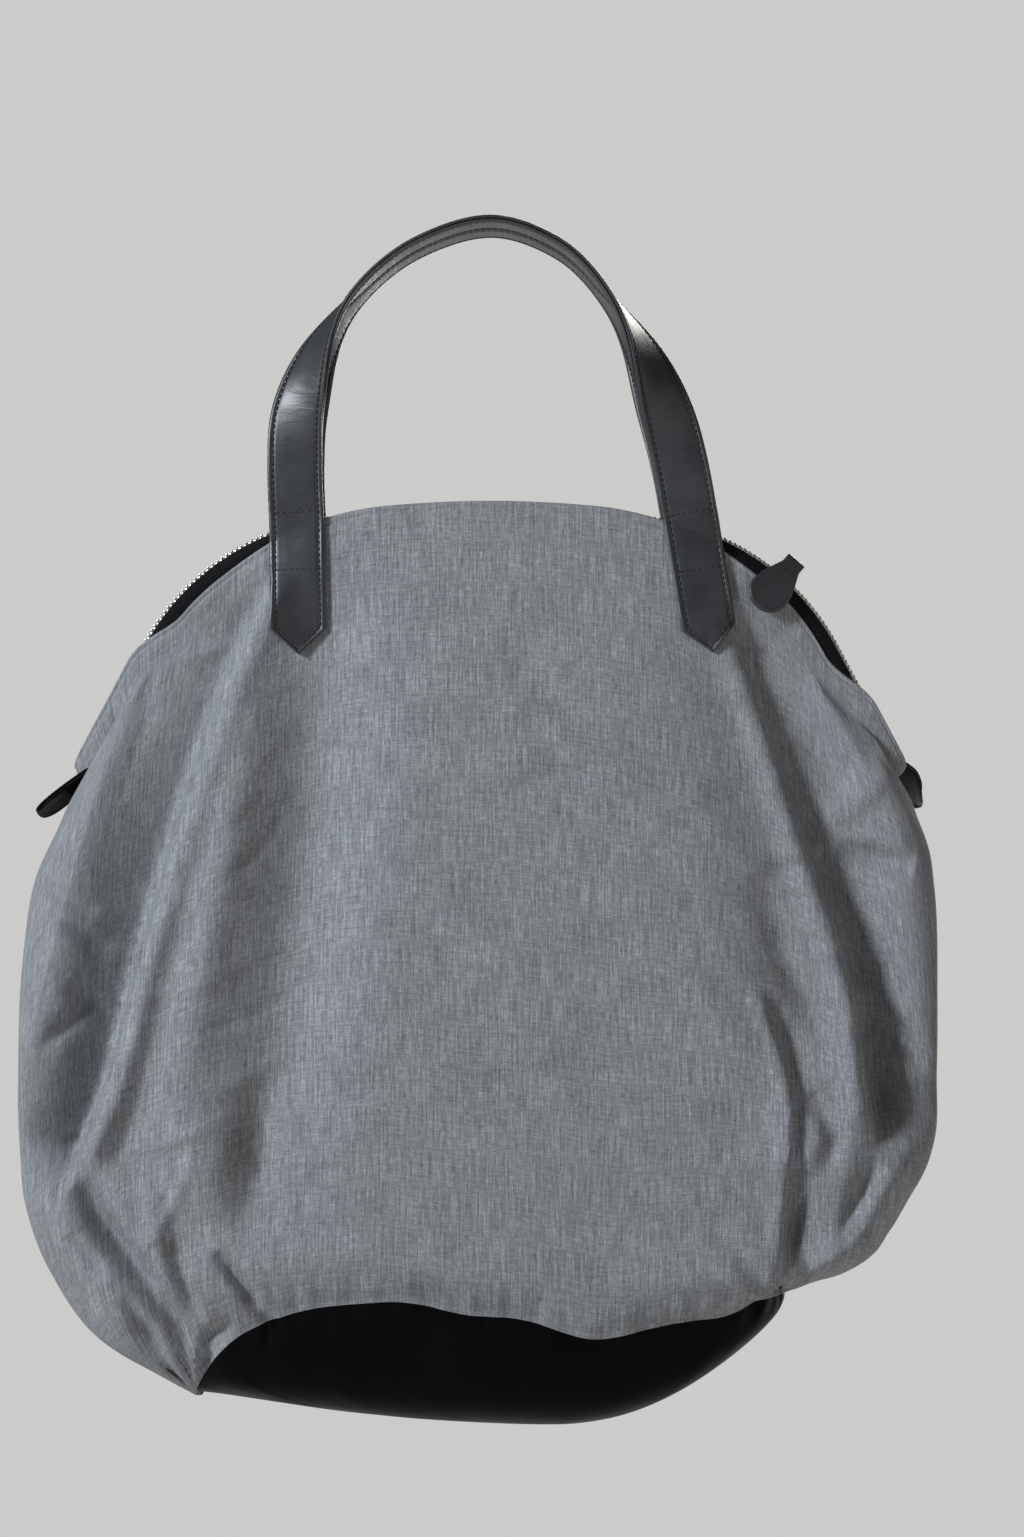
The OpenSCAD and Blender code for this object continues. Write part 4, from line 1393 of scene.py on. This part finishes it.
def build_handle(front):
    """Two leather layers and their stitching."""
    strap = Strap(front)
    side, facing = side_of(front)
    mirror = np.array([1.0, -facing, 1.0])
    middle = strap.thickness / 2
    layers = (("face", middle + 0.05 * MM, strap.thickness, True,
               (f"{side}_handle_face", f"{side}_left_tab", f"{side}_right_tab")),
              ("backing", 0.0, middle - 0.05 * MM, False, (f"{side}_handle_backing",)))
    for layer_name, low, high, outward, nodes in layers:
        points, quads, uv = strap_layer(strap, low, high, outward)
        piece = add_piece(f"{side}_handle_{layer_name}_leather", points * mirror, quads, uv, strap_leather(),
                          None)
        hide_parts(*nodes)
        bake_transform(piece)
    sunk = 0.02 * MM
    points, quads, uv = together([strap_stitches(strap, strap.thickness - sunk, True),
                                  strap_stitches(strap, sunk, False)])
    piece = add_piece(f"{side}_handle_stitches", points * mirror, quads, uv, dark_thread(),
                      None)
    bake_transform(piece)


# stage

# distances from the middle of the floor between which it fades into the backdrop
FADE_NEAR, FADE_FAR = 0.2, 1.25
# where the camera looks, and its distance from there
AIM = Vector((11.8 * MM, 0.0, -296.6 * MM))
CAMERA_AWAY = Vector((0.0, -1.95, 0.0))
LIGHT_AIM = Vector((0.0, 0.0, -0.35))
# name, place, size, power and tint of each lamp
LIGHTS = (("window_light", (-2.3, -1.75, 1.05), 0.8, 112, (0.88, 0.94, 1.0)),
          ("warm_fill", (1.9, -1.6, 0.2), 1.6, 4.0, (1.0, 0.90, 0.78)),
          ("rear_fill", (0.9, 2.3, 0.6), 2.0, 85, (1.0, 0.97, 0.93)))


def build_floor():
    """A wide pale floor that fades into the even backdrop far from the bag."""
    settings = bpy.context.scene.bag_stage
    reach = 60.0
    height = FLOOR_Z - settings.floor_drop
    spread = np.array([-reach, -4.0, 4.0, reach])
    x, y = np.meshgrid(spread, spread)
    points = np.stack([x, y, np.full_like(x, height)], axis=-1).reshape(-1, 3)
    finish = Finish("pale_floor", scaled(settings.backdrop, 0.95), 0.9)
    far = finish.node("ShaderNodeEmission")
    far.inputs["Color"].default_value = (*settings.backdrop, 1.0)
    place = finish.node("ShaderNodeTexCoord").outputs["Object"]
    distance = finish.node("ShaderNodeVectorMath", operation="LENGTH")
    finish.link(place, distance.inputs[0])
    share = finish.node("ShaderNodeMapRange", interpolation_type="SMOOTHSTEP")
    share.inputs["From Min"].default_value = FADE_NEAR
    share.inputs["From Max"].default_value = FADE_FAR
    finish.link(distance.outputs["Value"], share.inputs["Value"])
    mix = finish.node("ShaderNodeMixShader")
    finish.link(share.outputs["Result"], mix.inputs[0])
    finish.link(finish.shader.outputs[0], mix.inputs[1])
    finish.link(far.outputs[0], mix.inputs[2])
    finish.link(mix.outputs[0], finish.tree.nodes["Material Output"].inputs["Surface"])
    quads = grid_quads(len(spread), len(spread))
    mesh = bpy.data.meshes.new("floor")
    mesh.from_pydata(points.tolist(), [], quads.tolist())
    mesh.materials.append(finish.material)
    floor = bpy.data.objects.new("floor", mesh)
    bpy.context.scene.collection.objects.link(floor)


def build_world():
    """An even pale backdrop for the camera, and a weaker warm fill for the bag."""
    settings = bpy.context.scene.bag_stage
    world = bpy.data.worlds.new("pale_room")
    world.use_nodes = True
    tree = world.node_tree
    tree.nodes.clear()
    seen = tree.nodes.new("ShaderNodeBackground")
    seen.inputs["Color"].default_value = (*settings.backdrop, 1.0)
    fill = tree.nodes.new("ShaderNodeBackground")
    fill.inputs["Color"].default_value = (1.0, 0.95, 0.88, 1.0)
    fill.inputs["Strength"].default_value = 0.09
    ray = tree.nodes.new("ShaderNodeLightPath")
    mix = tree.nodes.new("ShaderNodeMixShader")
    output = tree.nodes.new("ShaderNodeOutputWorld")
    tree.links.new(ray.outputs["Is Camera Ray"], mix.inputs[0])
    tree.links.new(fill.outputs[0], mix.inputs[1])
    tree.links.new(seen.outputs[0], mix.inputs[2])
    tree.links.new(mix.outputs[0], output.inputs["Surface"])
    bpy.context.scene.world = world


def area_light(name, place, size, power, tint):
    data = bpy.data.lights.new(name, "AREA")
    data.shape = "DISK"
    data.size = size
    data.energy = power
    data.color = tint
    lamp = bpy.data.objects.new(name, data)
    lamp.location = place
    lamp.rotation_euler = (LIGHT_AIM - Vector(place)).to_track_quat("-Z", "Y").to_euler()
    bpy.context.scene.collection.objects.link(lamp)


def build_camera():
    data = bpy.data.cameras.new("camera")
    data.sensor_fit = "VERTICAL"
    data.sensor_height = 36.0
    data.lens = 83.0
    camera = bpy.data.objects.new("camera", data)
    camera.location = AIM + CAMERA_AWAY
    camera.rotation_euler = (math.pi / 2, 0.0, 0.0)
    bpy.context.scene.collection.objects.link(camera)
    bpy.context.scene.camera = camera


# operators, one for each piece or group of like pieces

class BAG_OT_cloth(bpy.types.Operator):
    """Build the front and back cloth with their folds and hems."""
    bl_idname = "bag.cloth"
    bl_label = "Cloth Body"

    def execute(self, context):
        for front in (True, False):
            build_cloth(front)
        return {"FINISHED"}


class BAG_OT_lining(bpy.types.Operator):
    """Build the linings, the handle stiffeners and the inner pocket."""
    bl_idname = "bag.lining"
    bl_label = "Lining and Pocket"

    def execute(self, context):
        for front in (True, False):
            build_lining(front)
            build_stiffeners(front)
        build_pocket()
        return {"FINISHED"}


class BAG_OT_base(bpy.types.Operator):
    """Build the leather base and its lining."""
    bl_idname = "bag.base"
    bl_label = "Leather Base"

    def execute(self, context):
        thickness = context.scene.bag_leather.base_thickness
        build_tray("leather_base", 0.0, thickness, 60, base_leather(), "base_panel")
        build_tray("base_lining_sheet", thickness + 0.1 * MM, context.scene.bag_cloth.lining_thickness, 40,
                   finish_named("lining_twill", lining_cloth), "base_lining")
        return {"FINISHED"}


class BAG_OT_zip(bpy.types.Operator):
    """Build the zip tapes and teeth, and finish the slider, loop and stops."""
    bl_idname = "bag.zip"
    bl_label = "Zip"

    def execute(self, context):
        for front in (True, False):
            build_tape(front)
            build_teeth(front)
        dress_metal_nodes()
        return {"FINISHED"}


class BAG_OT_tabs(bpy.types.Operator):
    """Build the leather tabs at the two zip ends and the puller."""
    bl_idname = "bag.tabs"
    bl_label = "End Tabs and Puller"

    def execute(self, context):
        build_end_tabs()
        build_puller()
        return {"FINISHED"}


class BAG_OT_handles(bpy.types.Operator):
    """Build the two stitched leather handles."""
    bl_idname = "bag.handles"
    bl_label = "Handles"

    def execute(self, context):
        for front in (True, False):
            build_handle(front)
        return {"FINISHED"}


class BAG_OT_stage(bpy.types.Operator):
    """Set the floor, the light and the camera."""
    bl_idname = "bag.stage"
    bl_label = "Stage"

    def execute(self, context):
        build_floor()
        build_world()
        for lamp in LIGHTS:
            area_light(*lamp)
        build_camera()
        context.scene.view_settings.view_transform = "Standard"
        return {"FINISHED"}


class BAG_PT_panel(bpy.types.Panel):
    """Lists the bag's pieces and settings in the sidebar."""
    bl_idname = "BAG_PT_panel"
    bl_label = "Shoulder Bag"
    bl_space_type = "VIEW_3D"
    bl_region_type = "UI"
    bl_category = "Shoulder Bag"

    def draw(self, context):
        for name in ("bag_cloth", "bag_leather", "bag_zip", "bag_stage"):
            settings = getattr(context.scene, name)
            box = self.layout.box()
            for key in settings.bl_rna.properties.keys():
                if key not in {"rna_type", "name"}:
                    box.prop(settings, key)
        for operator in OPERATORS:
            self.layout.operator(operator.bl_idname)


OPERATORS = (BAG_OT_cloth, BAG_OT_lining, BAG_OT_base, BAG_OT_zip, BAG_OT_tabs, BAG_OT_handles, BAG_OT_stage)
SETTINGS = {"bag_cloth": BagClothSettings, "bag_leather": BagLeatherSettings, "bag_zip": BagZipSettings,
            "bag_stage": BagStageSettings}
CLASSES = (*SETTINGS.values(), *OPERATORS, BAG_PT_panel)


def register():
    for cls in CLASSES:
        bpy.utils.register_class(cls)
    for name, cls in SETTINGS.items():
        setattr(bpy.types.Scene, name, PointerProperty(type=cls))


def unregister():
    for name in SETTINGS:
        delattr(bpy.types.Scene, name)
    for cls in reversed(CLASSES):
        bpy.utils.unregister_class(cls)


def main():
    """Registers the add-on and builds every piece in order."""
    register()
    bpy.ops.bag.stage()
    bpy.ops.bag.cloth()
    bpy.ops.bag.lining()
    bpy.ops.bag.base()
    bpy.ops.bag.zip()
    bpy.ops.bag.tabs()
    bpy.ops.bag.handles()
    bpy.context.view_layer.update()


if __name__ == "__main__":
    main()
